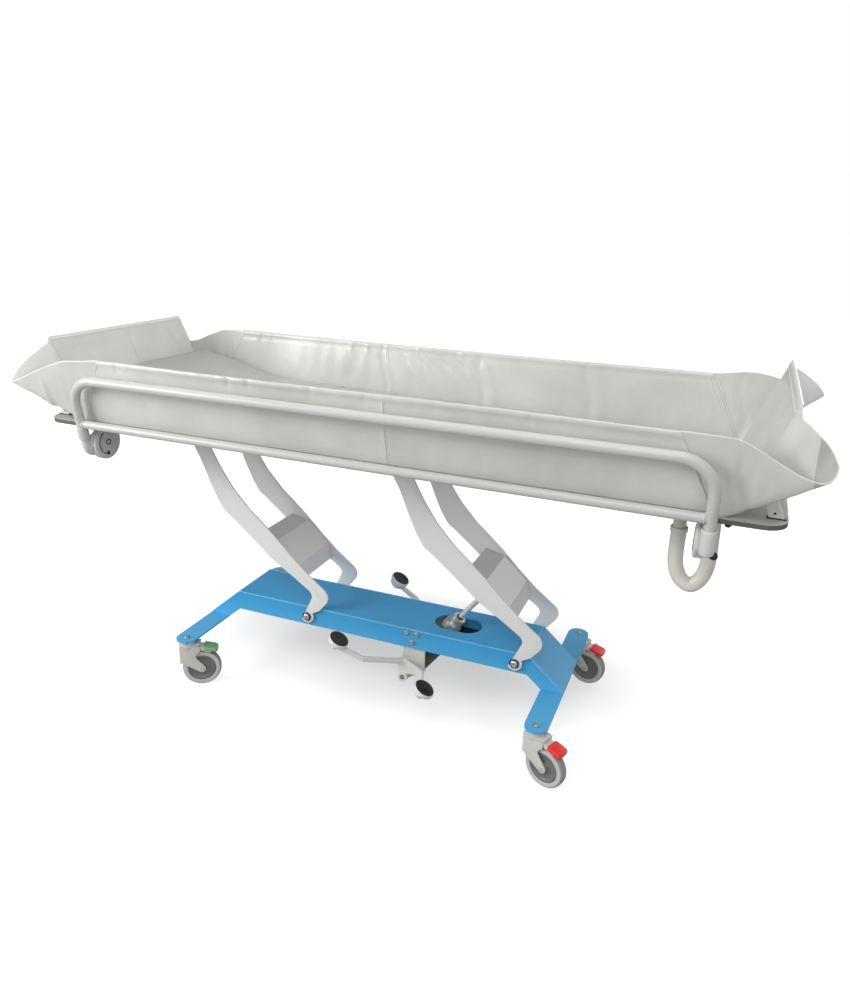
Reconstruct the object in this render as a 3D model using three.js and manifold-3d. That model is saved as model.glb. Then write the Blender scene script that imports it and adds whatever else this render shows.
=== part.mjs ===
// Height-adjustable shower trolley. Millimetres, +Z up, floor at z = 0.
// +X runs to the head end (the end with the drain hose), -Y is the near long side.
import * as THREE from "three";
import { mergeVertices } from "three/addons/utils/BufferGeometryUtils.js";
import Module from "manifold-3d";

const wasm = await Module();
wasm.setup();

// Fits
const FIT = 0.3; // gap between touching pieces
const PIN_FIT = 0.3; // radial gap of a pin in its hole
const OVERRUN = 5; // how far a cutting shape passes the face that it cuts

// Base frame, one folded sheet
const BEAM_HALF_LENGTH = 507; // flat part of the top
const BEAM_HALF_WIDTH = 98;
const BEAM_TOP = 274;
const BEAM_DEPTH = 66; // height of the side flanges
const SHEET = 6;
const LEG_TOP = 174;
const LEG_WIDTH = 68;
const WHEELBASE_HALF = 588;
const TRACK_HALF = 286;
const SLOT_CENTRE_X = 252;
const SLOT_LENGTH = 156;
const SLOT_WIDTH = 98;

// Casters
const WHEEL_RADIUS = 62.5;
const TYRE_WIDTH = 31;
const TYRE_SHOULDER = 5;
const RIM_RADIUS = 44.5;
const HUB_WIDTH = 25;
const HUB_BOSS_RADIUS = 13;
const CASTER_TRAIL = 42;
const AXLE_RADIUS = 5;
const AXLE_HEAD_RADIUS = 9;
const AXLE_HEAD = 3;
const FORK_CLEARANCE = 2.5; // tyre to fork, each side and above
const FORK_PLATE = 5;
const FORK_HEAD_RADIUS = 25;
const KING_PIN_RADIUS = 8;
const KING_HEAD_RADIUS = 13;
const KING_HEAD = 4;
const BRAKE_PIVOT_X = 33;
const BRAKE_PIVOT_Z = 141;
const BRAKE_BARREL_RADIUS = 7;
const BRAKE_PIN_RADIUS = 3;
const BRAKE_LENGTH = 62;
const BRAKE_WIDTH = 40;
const BRAKE_THICKNESS = 8;
const BRAKE_DROP = 9; // how much lower its tip is than its pivot
const SWIVELS = {
  head_near: { end: 1, side: -1, degrees: -21, pedal: "red" },
  foot_near: { end: -1, side: -1, degrees: 34, pedal: "green" },
  head_far: { end: 1, side: 1, degrees: -11, pedal: "red" },
  foot_far: { end: -1, side: 1, degrees: 20, pedal: "green" },
};

// Lifting arms: the far end of an arm lies back by the reach and up by the rise
const FOOT_ARM_X = -239; // lower pivot of the foot-end arm
const ARM_SPACING = 708; // to the lower pivot of the head-end arm
const ARM_PIVOT_Z = 243;
const ARM_REACH = 410;
const ARM_RISE = 600;
const ARM_PLATE = 6;
const ARM_GAP = 4; // beam side to arm plate
const ARM_EYE_RADIUS = 24;
const PANEL_SHEET = 5;
const PIVOT_RADIUS = 9;
const PIVOT_HEAD_RADIUS = 12;
const PIVOT_HEAD = 7;
const WASHER_RADIUS = 15;
const WASHER = 3;

// Outline of an arm plate as shares of the reach and the rise, toe first, up its front edge,
// then down its back edge
const ARM_FRONT_SHARES = [
  [-0.115, 0.048], [-0.18, 0.103], [-0.193, 0.128], [-0.188, 0.152], [-0.168, 0.173], [0.005, 0.263],
  [0.139, 0.347], [0.276, 0.44], [0.378, 0.502], [0.5, 0.572], [0.568, 0.622], [0.639, 0.675],
  [0.746, 0.783], [0.834, 0.893],
];
const ARM_BACK_SHARES = [
  [0.998, 0.897], [0.932, 0.815], [0.851, 0.683], [0.793, 0.598], [0.734, 0.537], [0.685, 0.515],
  [0.524, 0.428], [0.302, 0.3], [0.129, 0.227], [-0.029, 0.155], [-0.047, 0.135], [-0.046, 0.118],
  [-0.034, 0.097],
];
// Folds of the cross panel between the two plates: lower lip, lower fold, upper fold, upper lip
const PANEL_SHARES = [[0.029, 0.217], [0.072, 0.297], [0.256, 0.417], [0.415, 0.442]];

// Pump, cylinder and rod
const PUMP_X = 112; // pedal shaft, also the lower pin of the cylinder
const PUMP_Z = 112;
const PUMP_START = 16; // the block, along the cylinder from the pin
const PUMP_END = 112;
const PUMP_BELOW = 40; // the block's faces below and above the cylinder's axis
const PUMP_ABOVE = 28;
const PUMP_WIDTH = 84;
const PUMP_EYE_RADIUS = 20;
const PEDAL_SHAFT_RADIUS = 9;
const CYLINDER_RADIUS = 25;
const CYLINDER_LENGTH = 236;
const CYLINDER_BASE = 34; // from the pin to the bottom of the bore
const CYLINDER_HEAD_RADIUS = 29;
const CYLINDER_HEAD = 22;
const ROD_RADIUS = 8;
const ROD_INSIDE = 70; // length of rod inside the cylinder at rest
const ROD_PIN_BACK = 105; // rod pin from the arm's lower pivot
const ROD_PIN_UP = 195;
const ROD_PIN_RADIUS = 5;
const ROD_PIN_HEAD = 3;
const ROD_EYE_CLEARANCE = 5.8; // the eye's bore is wide, so the rod keeps clear as the lift moves
const ROD_EYE_WALL = 5;
const ROD_EYE_WIDTH = 18;
const LUG_PLATE = 6;
const LUG_EYE_WALL = 8;

// Pump bracket: two cheeks inside the beam flanges, a web between them and screws through the flanges
const BRACKET_SHEET = 5;
const BRACKET_AHEAD = 63; // the cheeks' front edge, from the pedal shaft
const BRACKET_BACK = 9;
const BRACKET_FRONT_UP = 16; // the height above the shaft where the front edge ends
const BRACKET_EYE_RADIUS = 20;
const BRACKET_SCREW_RADIUS = 5;
const BRACKET_SCREW_HEAD_RADIUS = 8;
const BRACKET_SCREW_HEAD = 3;
const BRACKET_SCREWS = [ // from the pedal shaft
  { ahead: 1, up: 149 }, { ahead: 36, up: 149 }, { ahead: 20, up: 118 },
];

// Foot rockers
const ROCKER_BOSS_RADIUS = 17;
const ROCKER_BOSS_WIDTH = 16;
const ROCKER_WEB_UP = 54; // from the shaft up to the strap
const STRAP_WIDTH = 8;
const STRAP_HEIGHT = 16;
const PAD_RADIUS = 30;
const PAD_THICKNESS = 14;
const PAD_DISH = 7;
const PAD_CUP = 6;
const PAD_CUP_LIP = 3;
const PAD_STEM = 20; // below the cup, where the strap meets it
const PAD_STEM_RADIUS = 11;
const PAD_TILT = 30; // degrees, both pads lean to the head end
const PAD_Y = 238;
const REAR_PAD = { ahead: -162, up: 161 }; // from the pedal shaft
const FRONT_PAD = { ahead: 123, up: 62 };
const REAR_KNEE = { ahead: -92, up: 96, out: 220 };
const FRONT_KNEE = { ahead: 70, up: 26 };

// Platform, measured from its own centre
const PLATFORM_SHIFT = 57; // platform centre ahead of the base centre
const UNDERFRAME_TUBE_HEIGHT = 44;
const UNDERFRAME_TUBE_WIDTH = 30;
const UNDERFRAME_WALL = 3;
const UNDERFRAME_HALF_LENGTH = 900;
const CROSS_BAR = 30;
const CROSS_BAR_HALF_SPAN = 235;
const FOOT_BAR_AHEAD = 86; // of the upper pivot of the foot-end arm
const HEAD_BARS_AHEAD = [-210, 210, 618]; // of the upper pivot of the head-end arm
const PIVOT_DROP = 24; // board underside to the upper pivots
const BOARD_HALF_LENGTH = 1060;
const BOARD_HALF_WIDTH = 350;
const BOARD_CORNER = 55;
const BOARD = 13;

// Tray liner. Heights are above the top of the board.
const TRAY_HALF_LENGTH = 940; // outside of the end flaps at the board
const TRAY_HALF_WIDTH = 345;
const WALL_THICKNESS = 12;
const FLAP_THICKNESS = 10;
const GUSSET_THICKNESS = 5;
const WALL_TOP_HALF_LENGTH = 805;
const WALL_TOP_HALF_WIDTH = 375;
const WALL_HEIGHT = 195;
const SEAM_FOOT_HALF_LENGTH = 905;
const HEM_HALF_LENGTH = 930; // where the hem turns down toward the ear
const HEM_HALF_WIDTH = 380;
const HEM_HEIGHT = 188;
const EAR_HALF_LENGTH = 1120;
const EAR_HALF_WIDTH = 396;
const EAR_HEIGHT = 122;
const FLAP_TOP_HALF_LENGTH = 1042;
const FLAP_TOP_HALF_WIDTH = 320;
const FLAP_FOOT_HALF_WIDTH = 305;
const HEAD_FLAP_HEIGHT = 262;
const FOOT_FLAP_HEIGHT = 238;
const WALL_WAVE = 4; // soft waves of the side walls
const WALL_WAVE_COUNT = 9;

// Padded floor of the tray
const PAD_HEIGHT_FOOT = 78; // at the foot end
const PAD_HEIGHT_HEAD = 22; // at the drain end
const PAD_CROWN = 9;
const PAD_EDGE = 14;

// End stanchions
const STANCHION_X = 1034;
const STANCHION_Y = 294;
const STANCHION_WIDTH = 32;
const STANCHION_DEPTH = 14;
const STANCHION_HEIGHT = 104;
const STANCHION_FOOT = 4;
const STANCHION_FOOT_EDGE = 8;
const STANCHION_BAR_RADIUS = 9;

// Side rails
const RAIL_HALF_LENGTH = 898;
const RAIL_TUBE_RADIUS = 14;
const RAIL_LOWER_RADIUS = 12.5;
const RAIL_BEND = 84;
const RAIL_LEAN = 9.8; // degrees, the rail leans outward
const RAIL_OFFSET = 58; // hinge axis to the plane of the rail
const RAIL_POST_FOOT = 32; // heights above the hinge axis, along the post
const RAIL_LOWER = 80;
const RAIL_TOP = 221;

// Rail hinges
const HINGE_Y = 303;
const HINGE_RADIUS = 53;
const HINGE_PLATE = 12;
const HINGE_FLANGE = 26;
const HINGE_FLANGE_THICKNESS = 5;
const HINGE_FLANGE_HALF = 44;
const SOCKET_WALL = 4;
const SOCKET_DEPTH = 22; // how deep the post sits in it
const SOCKET_LENGTH = 60;
const KNOB_OUT = 32; // lock knob from the hinge axis, outward and down
const KNOB_DOWN = 33;
const KNOB_RADIUS = 10;
const KNOB_LENGTH = 16;
const KNOB_STEM = 14;
const KNOB_PIN_RADIUS = 4;

// Drain
const DRAIN_X = 826;
const DRAIN_Y = -200;
const STUB_RADIUS = 16;
const STUB_WALL = 3;
const STUB_DROP = 88; // board underside to the collar's foot
const COLLAR_RADIUS = 21;
const COLLAR = 12;
const DRAIN_FLANGE_RADIUS = 34;
const DRAIN_FLANGE = 3;
const HOSE_RADIUS = 19;
const HOSE_ROUTE = [ // from the collar's foot, along X and Z
  [0, 0], [0, -38], [1, -72], [7, -102], [21, -127], [44, -139], [62, -126], [74, -102], [79, -72],
  [79, -38], [78, 0], [77, 37], [77, 73],
];
const HOLDER_WALL = 4;
const HOLDER_OVERLAP = 12;

// Facets
const ROUND = 18;
const SMALL_ROUND = 12;
const SCREW_ROUND = 8;
const WHEEL_ROUND = 28;
const TUBE_SIDES = 10;
const BEND_STEPS = 6;
const HOSE_SIDES = 12;

const looks = {
  blue: { color: 0x3c82bc, roughness: 0.45, metalness: 0.1 },
  white: { color: 0xe2e2e0, roughness: 0.4, metalness: 0 },
  grey: { color: 0x8f8f8d, roughness: 0.5, metalness: 0 },
  paleGrey: { color: 0xd5d3ce, roughness: 0.5, metalness: 0 },
  tread: { color: 0xa9a9a6, roughness: 0.8, metalness: 0 },
  black: { color: 0x2a2a28, roughness: 0.7, metalness: 0 },
  red: { color: 0xe23a34, roughness: 0.4, metalness: 0 },
  green: { color: 0x6fae6c, roughness: 0.4, metalness: 0 },
  steel: { color: 0xb9bbb8, roughness: 0.3, metalness: 0.9 },
  zinc: { color: 0x8b9490, roughness: 0.4, metalness: 0.8 },
  liner: { color: 0xd2d2ce, roughness: 0.5, metalness: 0 },
  board: { color: 0x95938f, roughness: 0.6, metalness: 0 },
  hose: { color: 0xe4e1da, roughness: 0.5, metalness: 0 },
};

const radians = THREE.MathUtils.degToRad;
const BEAM_UNDERSIDE = BEAM_TOP - BEAM_DEPTH;
const ARM_INNER_Y = BEAM_HALF_WIDTH + ARM_GAP;
const ARM_OUTER_Y = ARM_INNER_Y + ARM_PLATE;
const HEAD_ARM_X = FOOT_ARM_X + ARM_SPACING;
const BOARD_UNDERSIDE = ARM_PIVOT_Z + ARM_RISE + PIVOT_DROP;
const BOARD_TOP = BOARD_UNDERSIDE + BOARD;
const HINGE_Z = BOARD_UNDERSIDE - FIT - HINGE_RADIUS;

function piece(name, look, geometry) {
  const mesh = new THREE.Mesh(geometry, new THREE.MeshStandardMaterial(looks[look]));
  mesh.name = name;
  return mesh;
}

// A closed geometry as a manifold solid, for cuts and joins
function solid(geometry) {
  const bare = geometry.index ? geometry.toNonIndexed() : geometry.clone();
  bare.deleteAttribute("normal");
  bare.deleteAttribute("uv");
  const welded = mergeVertices(bare);
  return new wasm.Manifold(new wasm.Mesh({
    numProp: 3,
    vertProperties: new Float32Array(welded.attributes.position.array),
    triVerts: new Uint32Array(welded.index.array),
  }));
}

function surface(manifold) {
  const mesh = manifold.getMesh();
  const geometry = new THREE.BufferGeometry();
  geometry.setAttribute("position", new THREE.BufferAttribute(mesh.vertProperties, 3));
  geometry.setIndex(new THREE.BufferAttribute(mesh.triVerts, 1));
  geometry.computeVertexNormals();
  return geometry;
}

function join(...geometries) {
  return surface(geometries.map(solid).reduce((whole, next) => whole.add(next)));
}

function cut(geometry, ...tools) {
  return surface(tools.map(solid).reduce((rest, tool) => rest.subtract(tool), solid(geometry)));
}

function outline(points) {
  return new THREE.Shape(points.map(([x, y]) => new THREE.Vector2(x, y)));
}

// A plate lying flat, from z = 0 up
function slab(shape, height) {
  return new THREE.ExtrudeGeometry(shape, { depth: height, bevelEnabled: false });
}

// A plate standing on edge: an outline in X and Z, centred on y = 0
function standing(shape, width) {
  return slab(shape, width).translate(0, 0, -width / 2).rotateX(Math.PI / 2);
}

function box(x, y, z) {
  return new THREE.BoxGeometry(x, y, z);
}

// Cylinders along Y, Z and X
function roundY(radius, length, sides = ROUND) {
  return new THREE.CylinderGeometry(radius, radius, length, sides);
}

function roundZ(radius, length, sides = ROUND) {
  return roundY(radius, length, sides).rotateX(Math.PI / 2);
}

function roundX(radius, length, sides = ROUND) {
  return roundY(radius, length, sides).rotateZ(Math.PI / 2);
}

// A turned shape about Y from [radius, y] pairs, listed from its low end to its high end
function turned(profile, sides = ROUND) {
  return new THREE.LatheGeometry(profile.map(([r, y]) => new THREE.Vector2(r, y)), sides);
}

function circle(x, y, radius, sides, from, to) {
  const points = [];
  for (let i = 0; i <= sides; i += 1) {
    const angle = radians(from + (to - from) * i / sides);
    points.push([x + radius * Math.cos(angle), y + radius * Math.sin(angle)]);
  }
  return points;
}

// A rectangle with round corners, centred on the origin
function roundedRectangle(halfX, halfY, corner, steps) {
  const x = halfX - corner;
  const y = halfY - corner;
  return outline([
    ...circle(x, y, corner, steps, 0, 90),
    ...circle(-x, y, corner, steps, 90, 180),
    ...circle(-x, -y, corner, steps, 180, 270),
    ...circle(x, -y, corner, steps, 270, 360),
  ]);
}

// Moves each edge of an outline, listed counter-clockwise, inward by a distance
function inset(points, distance) {
  return points.map((point, i) => {
    const before = points[(i + points.length - 1) % points.length];
    const after = points[(i + 1) % points.length];
    return mitre(before, point, after, distance);
  });
}

function mitre(before, point, after, distance) {
  const a = new THREE.Vector2(point[0] - before[0], point[1] - before[1]).normalize();
  const b = new THREE.Vector2(after[0] - point[0], after[1] - point[1]).normalize();
  const normal = new THREE.Vector2(-a.y - b.y, a.x + b.x).normalize();
  const along = distance / (normal.x * -a.y + normal.y * a.x);
  return [point[0] + normal.x * along, point[1] + normal.y * along];
}

// Sheet of one thickness folded along a polyline; the thickness lies on its left
function foldedSheet(line, thickness) {
  const other = line.map((point, i) => {
    const before = line[i - 1] ?? [2 * point[0] - line[1][0], 2 * point[1] - line[1][1]];
    const last = line.length - 1;
    const after = line[i + 1] ?? [2 * point[0] - line[last - 1][0], 2 * point[1] - line[last - 1][1]];
    return mitre(before, point, after, thickness);
  });
  return outline([...line, ...other.reverse()]);
}

// A straight bar between two points, its height upright
function bar(from, to, width, height) {
  const a = new THREE.Vector3(...from);
  const b = new THREE.Vector3(...to);
  const along = b.clone().sub(a);
  const length = along.length();
  along.normalize();
  const across = new THREE.Vector3(0, 0, 1).cross(along).normalize();
  const up = along.clone().cross(across);
  const place = new THREE.Matrix4().makeBasis(along, across, up);
  place.setPosition(a.add(b).multiplyScalar(1 / 2));
  return box(length, width, height).applyMatrix4(place);
}

// A path through chosen stations, so that a swept tube has one ring at each of them
class Stations extends THREE.Curve {
  constructor(points) {
    super();
    this.points = points;
  }

  getPoint(t, target = new THREE.Vector3()) {
    const last = this.points.length - 1;
    const place = Math.min(Math.max(t, 0), 1) * last;
    const index = Math.min(Math.floor(place), last - 1);
    return target.lerpVectors(this.points[index], this.points[index + 1], place - index);
  }

  getPointAt(t, target) {
    return this.getPoint(t, target);
  }

  getTangentAt(t, target = new THREE.Vector3()) {
    const last = this.points.length - 1;
    const index = Math.round(t * last);
    const before = this.points[Math.max(index - 1, 0)];
    const after = this.points[Math.min(index + 1, last)];
    const here = this.points[index];
    const arriving = here.clone().sub(before).normalize();
    const leaving = after.clone().sub(here).normalize();
    return target.copy(arriving).add(leaving).normalize();
  }
}

function tube(points, radius, sides) {
  const section = new THREE.Shape(
    circle(0, 0, radius, sides, 0, 360).slice(0, sides).map(([x, y]) => new THREE.Vector2(x, y)),
  );
  return new THREE.ExtrudeGeometry(section, {
    steps: points.length - 1, bevelEnabled: false, extrudePath: new Stations(points),
  });
}

// Base frame

function baseFrame() {
  const legInner = WHEELBASE_HALF - LEG_WIDTH / 2;
  const legOuter = WHEELBASE_HALF + LEG_WIDTH / 2;
  const legUnderside = LEG_TOP - SHEET;
  const profile = [
    [-legInner, legUnderside], [-BEAM_HALF_LENGTH, BEAM_UNDERSIDE],
    [BEAM_HALF_LENGTH, BEAM_UNDERSIDE], [legInner, legUnderside],
    [legOuter, legUnderside], [legOuter, LEG_TOP], [BEAM_HALF_LENGTH, BEAM_TOP],
    [-BEAM_HALF_LENGTH, BEAM_TOP], [-legOuter, LEG_TOP], [-legOuter, legUnderside],
  ];
  const hollow = [
    [-legOuter, LEG_TOP - BEAM_TOP], [legOuter, LEG_TOP - BEAM_TOP],
    ...inset([[legOuter, LEG_TOP - BEAM_TOP], [legOuter, LEG_TOP], [BEAM_HALF_LENGTH, BEAM_TOP],
      [-BEAM_HALF_LENGTH, BEAM_TOP], [-legOuter, LEG_TOP], [-legOuter, LEG_TOP - BEAM_TOP]], SHEET),
  ];
  const beam = cut(
    standing(outline(profile), 2 * BEAM_HALF_WIDTH),
    standing(outline(hollow.slice(2)), 2 * (BEAM_HALF_WIDTH - SHEET)),
  );
  const legs = [];
  const pinHoles = [];
  for (const end of [-1, 1]) {
    for (const side of [-1, 1]) {
      legs.push(leg().rotateZ(side > 0 ? 0 : Math.PI).translate(end * WHEELBASE_HALF, 0, legUnderside));
      pinHoles.push(roundZ(KING_PIN_RADIUS + PIN_FIT, SHEET + 2 * OVERRUN, SMALL_ROUND)
        .translate(end * WHEELBASE_HALF, side * TRACK_HALF, LEG_TOP - SHEET / 2));
    }
  }
  const slot = slab(roundedRectangle(SLOT_LENGTH / 2, SLOT_WIDTH / 2, SLOT_WIDTH / 2 - FIT, BEND_STEPS),
    SHEET + 2 * OVERRUN).translate(SLOT_CENTRE_X, 0, BEAM_TOP - SHEET - OVERRUN);
  const pivots = [FOOT_ARM_X, HEAD_ARM_X].map((x) => (
    roundY(PIVOT_RADIUS + PIN_FIT, 2 * (BEAM_HALF_WIDTH + OVERRUN)).translate(x, 0, ARM_PIVOT_Z)));
  const screwHoles = BRACKET_SCREWS.map(({ ahead, up }) => (
    roundY(BRACKET_SCREW_RADIUS + 2 * PIN_FIT, 2 * (BEAM_HALF_WIDTH + OVERRUN), SCREW_ROUND)
      .translate(PUMP_X + ahead, 0, PUMP_Z + up)));
  return piece("base_frame", "blue", cut(join(beam, ...legs), slot, ...pinHoles, ...pivots, ...screwHoles));
}

// One leg plate from inside the beam's flange to its round end about the caster
function leg() {
  const half = LEG_WIDTH / 2;
  const start = BEAM_HALF_WIDTH - SHEET;
  const plate = slab(outline([
    [-half, start], [half, start], ...circle(0, TRACK_HALF, half, BEND_STEPS, 0, 180),
  ]), SHEET);
  return plate;
}

// Casters, modelled with the trail along +X and the swivel axis on the origin

function casterFork() {
  const tyreHalf = TYRE_WIDTH / 2;
  const inner = tyreHalf + FORK_CLEARANCE;
  const outer = inner + FORK_PLATE;
  const crownUnder = 2 * WHEEL_RADIUS + FORK_CLEARANCE;
  const crownTop = BRAKE_PIVOT_Z + BRAKE_BARREL_RADIUS;
  const side = outline([
    [-FORK_HEAD_RADIUS, crownUnder], [-HUB_BOSS_RADIUS, WHEEL_RADIUS + RIM_RADIUS / 2],
    ...circle(CASTER_TRAIL, WHEEL_RADIUS, HUB_BOSS_RADIUS, BEND_STEPS, 200, 380),
    [BRAKE_PIVOT_X + BRAKE_BARREL_RADIUS, crownUnder],
    [BRAKE_PIVOT_X + BRAKE_BARREL_RADIUS, crownTop], [-FORK_HEAD_RADIUS, crownTop],
  ]);
  const middle = (inner + outer) / 2;
  const crownEnd = BRAKE_PIVOT_X - BRAKE_BARREL_RADIUS - FORK_CLEARANCE;
  const crown = box(crownEnd + FORK_HEAD_RADIUS, 2 * outer, crownTop - crownUnder)
    .translate((crownEnd - FORK_HEAD_RADIUS) / 2, 0, (crownTop + crownUnder) / 2);
  const headTop = LEG_TOP - SHEET - FIT;
  const head = roundZ(FORK_HEAD_RADIUS, headTop - crownTop + OVERRUN, SMALL_ROUND)
    .translate(0, 0, (headTop + crownTop - OVERRUN) / 2);
  const pinTop = LEG_TOP + FIT + KING_HEAD;
  const pin = roundZ(KING_PIN_RADIUS, pinTop - crownTop, SMALL_ROUND).translate(0, 0, (pinTop + crownTop) / 2);
  const pinHead = turned([
    [0, 0], [KING_HEAD_RADIUS, 0], [KING_HEAD_RADIUS, KING_HEAD / 2],
    [KING_HEAD_RADIUS - KING_HEAD / 2, KING_HEAD], [0, KING_HEAD],
  ], SMALL_ROUND).rotateX(Math.PI / 2).translate(0, 0, LEG_TOP + FIT);
  const axle = roundY(AXLE_RADIUS, 2 * outer + 2 * AXLE_HEAD, SMALL_ROUND);
  const axleHeads = [-1, 1].map((s) => (
    roundY(AXLE_HEAD_RADIUS, AXLE_HEAD, SMALL_ROUND).translate(0, s * (outer + AXLE_HEAD / 2), 0)));
  const body = join(
    standing(side, FORK_PLATE).translate(0, middle, 0),
    standing(side, FORK_PLATE).translate(0, -middle, 0),
    crown, head, pin, pinHead,
    ...[axle, ...axleHeads].map((shape) => shape.translate(CASTER_TRAIL, 0, WHEEL_RADIUS)),
  );
  const brakeHole = roundY(BRAKE_PIN_RADIUS + PIN_FIT, 2 * (outer + OVERRUN), SMALL_ROUND)
    .translate(BRAKE_PIVOT_X, 0, BRAKE_PIVOT_Z);
  return cut(body, brakeHole);
}

function wheelHub() {
  const half = HUB_WIDTH / 2;
  const bore = AXLE_RADIUS + PIN_FIT;
  const boss = TYRE_WIDTH / 2 + FORK_CLEARANCE - FIT;
  return turned([
    [bore, -boss], [HUB_BOSS_RADIUS, -boss], [HUB_BOSS_RADIUS, -half], [RIM_RADIUS, -half],
    [RIM_RADIUS, half], [HUB_BOSS_RADIUS, half], [HUB_BOSS_RADIUS, boss], [bore, boss], [bore, -boss],
  ]);
}

function tyre() {
  const half = TYRE_WIDTH / 2;
  const inner = RIM_RADIUS + FIT;
  const shoulder = WHEEL_RADIUS - TYRE_SHOULDER;
  return turned([
    [inner, -half], [shoulder, -half], [WHEEL_RADIUS, TYRE_SHOULDER - half],
    [WHEEL_RADIUS, half - TYRE_SHOULDER], [shoulder, half], [inner, half], [inner, -half],
  ], WHEEL_ROUND);
}

// Brake pedal about its own pivot, its tongue along +X
function brakePedal() {
  const inner = TYRE_WIDTH / 2 + FORK_CLEARANCE - FIT;
  const outer = inner + FORK_PLATE;
  const barrel = roundY(BRAKE_BARREL_RADIUS - FIT, 2 * inner, SMALL_ROUND);
  const pin = roundY(BRAKE_PIN_RADIUS, 2 * outer, SMALL_ROUND);
  const half = BRAKE_WIDTH / 2;
  const neck = BRAKE_BARREL_RADIUS + FORK_CLEARANCE;
  const tongue = slab(outline([
    [0, -inner], [neck, -inner], [2 * neck, -half], [BRAKE_LENGTH - half / 2, -half],
    ...circle(BRAKE_LENGTH - half / 2, half / 2 - half, half / 2, BEND_STEPS / 2, -90, 0),
    ...circle(BRAKE_LENGTH - half / 2, half - half / 2, half / 2, BEND_STEPS / 2, 0, 90),
    [BRAKE_LENGTH - half / 2, half], [2 * neck, half], [neck, inner], [0, inner],
  ]), BRAKE_THICKNESS).translate(0, 0, -BRAKE_THICKNESS / 2)
    .rotateY(Math.atan2(BRAKE_DROP, BRAKE_LENGTH));
  return join(barrel, pin, tongue);
}

function caster(name, { end, side, degrees, pedal }) {
  const group = new THREE.Group();
  group.position.set(end * WHEELBASE_HALF, side * TRACK_HALF, 0);
  group.rotation.z = radians(degrees);
  const wheel = new THREE.Group();
  wheel.position.set(CASTER_TRAIL, 0, WHEEL_RADIUS);
  wheel.add(piece(`${name}_wheel_hub`, "grey", wheelHub()), piece(`${name}_tyre`, "tread", tyre()));
  const brake = piece(`${name}_brake_pedal`, pedal, brakePedal());
  brake.position.set(BRAKE_PIVOT_X, 0, BRAKE_PIVOT_Z);
  group.add(piece(`${name}_fork`, "paleGrey", casterFork()), wheel, brake);
  return group;
}

// Lifting arms, modelled about their lower pivot

function armPoint([back, up]) {
  return [-ARM_REACH * back, ARM_RISE * up];
}

function armPlate() {
  const eye = Math.atan2(ARM_RISE, -ARM_REACH) * THREE.MathUtils.RAD2DEG;
  const plate = standing(outline([
    ...circle(0, 0, ARM_EYE_RADIUS, BEND_STEPS, eye + 90, eye + 270),
    ...ARM_FRONT_SHARES.map(armPoint),
    ...circle(-ARM_REACH, ARM_RISE, ARM_EYE_RADIUS, BEND_STEPS, eye - 90, eye + 90),
    ...ARM_BACK_SHARES.map(armPoint),
  ]), ARM_PLATE);
  const hole = roundY(PIVOT_RADIUS + PIN_FIT, ARM_PLATE + 2 * OVERRUN);
  return cut(plate, hole.clone(), hole.clone().translate(-ARM_REACH, 0, ARM_RISE));
}

function crossPanel() {
  const width = 2 * (ARM_INNER_Y - FIT);
  return standing(foldedSheet(PANEL_SHARES.map(armPoint), PANEL_SHEET), width);
}

// Two lugs behind the head-end panel carry the rod pin
function rodLugs() {
  const eye = ROD_PIN_RADIUS + LUG_EYE_WALL;
  const [, low, high] = PANEL_SHARES.map(armPoint);
  const [lowIn, highIn] = foldLine(low, high, PANEL_SHEET / 2);
  const shape = outline([
    ...circle(-ROD_PIN_BACK, ROD_PIN_UP, eye, BEND_STEPS, 135, 315), lowIn, highIn,
  ]);
  const offset = ROD_EYE_WIDTH / 2 + FIT + LUG_PLATE / 2;
  return [-1, 1].map((side) => standing(shape, LUG_PLATE).translate(0, side * offset, 0));
}

// The stretch between two folds, moved in by a distance and pulled in at both ends
function foldLine(low, high, distance) {
  const a = new THREE.Vector2(...low);
  const b = new THREE.Vector2(...high);
  const along = b.clone().sub(a).normalize();
  const left = new THREE.Vector2(-along.y, along.x).multiplyScalar(distance);
  const pull = along.multiplyScalar(2 * ROD_EYE_WALL);
  return [a.add(left).add(pull), b.add(left).sub(pull)].map((p) => [p.x, p.y]);
}

function arm(name, x, hasLugs) {
  const group = new THREE.Group();
  group.position.set(x, 0, ARM_PIVOT_Z);
  for (const [label, side] of [["near", -1], ["far", 1]]) {
    const plate = piece(`${name}_${label}_plate`, "white", armPlate());
    plate.position.y = side * (ARM_INNER_Y + ARM_PLATE / 2);
    group.add(plate);
  }
  let panel = crossPanel();
  if (hasLugs) {
    const pinHole = roundY(ROD_PIN_RADIUS + PIN_FIT, 2 * ARM_INNER_Y, SMALL_ROUND)
      .translate(-ROD_PIN_BACK, 0, ROD_PIN_UP);
    panel = cut(join(panel, ...rodLugs()), pinHole);
    const pin = piece("rod_pin", "steel", rodPin());
    pin.position.set(-ROD_PIN_BACK, 0, ROD_PIN_UP);
    group.add(pin);
  }
  group.add(piece(`${name}_cross_panel`, "white", panel));
  return group;
}

function rodPin() {
  const half = ROD_EYE_WIDTH / 2 + FIT + LUG_PLATE + FIT;
  const head = ROD_PIN_RADIUS + ROD_PIN_HEAD;
  return turned([
    [0, -half - ROD_PIN_HEAD], [head, -half - ROD_PIN_HEAD], [head, -half], [ROD_PIN_RADIUS, -half],
    [ROD_PIN_RADIUS, half], [head, half], [head, half + ROD_PIN_HEAD], [0, half + ROD_PIN_HEAD],
  ], SMALL_ROUND);
}

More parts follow.
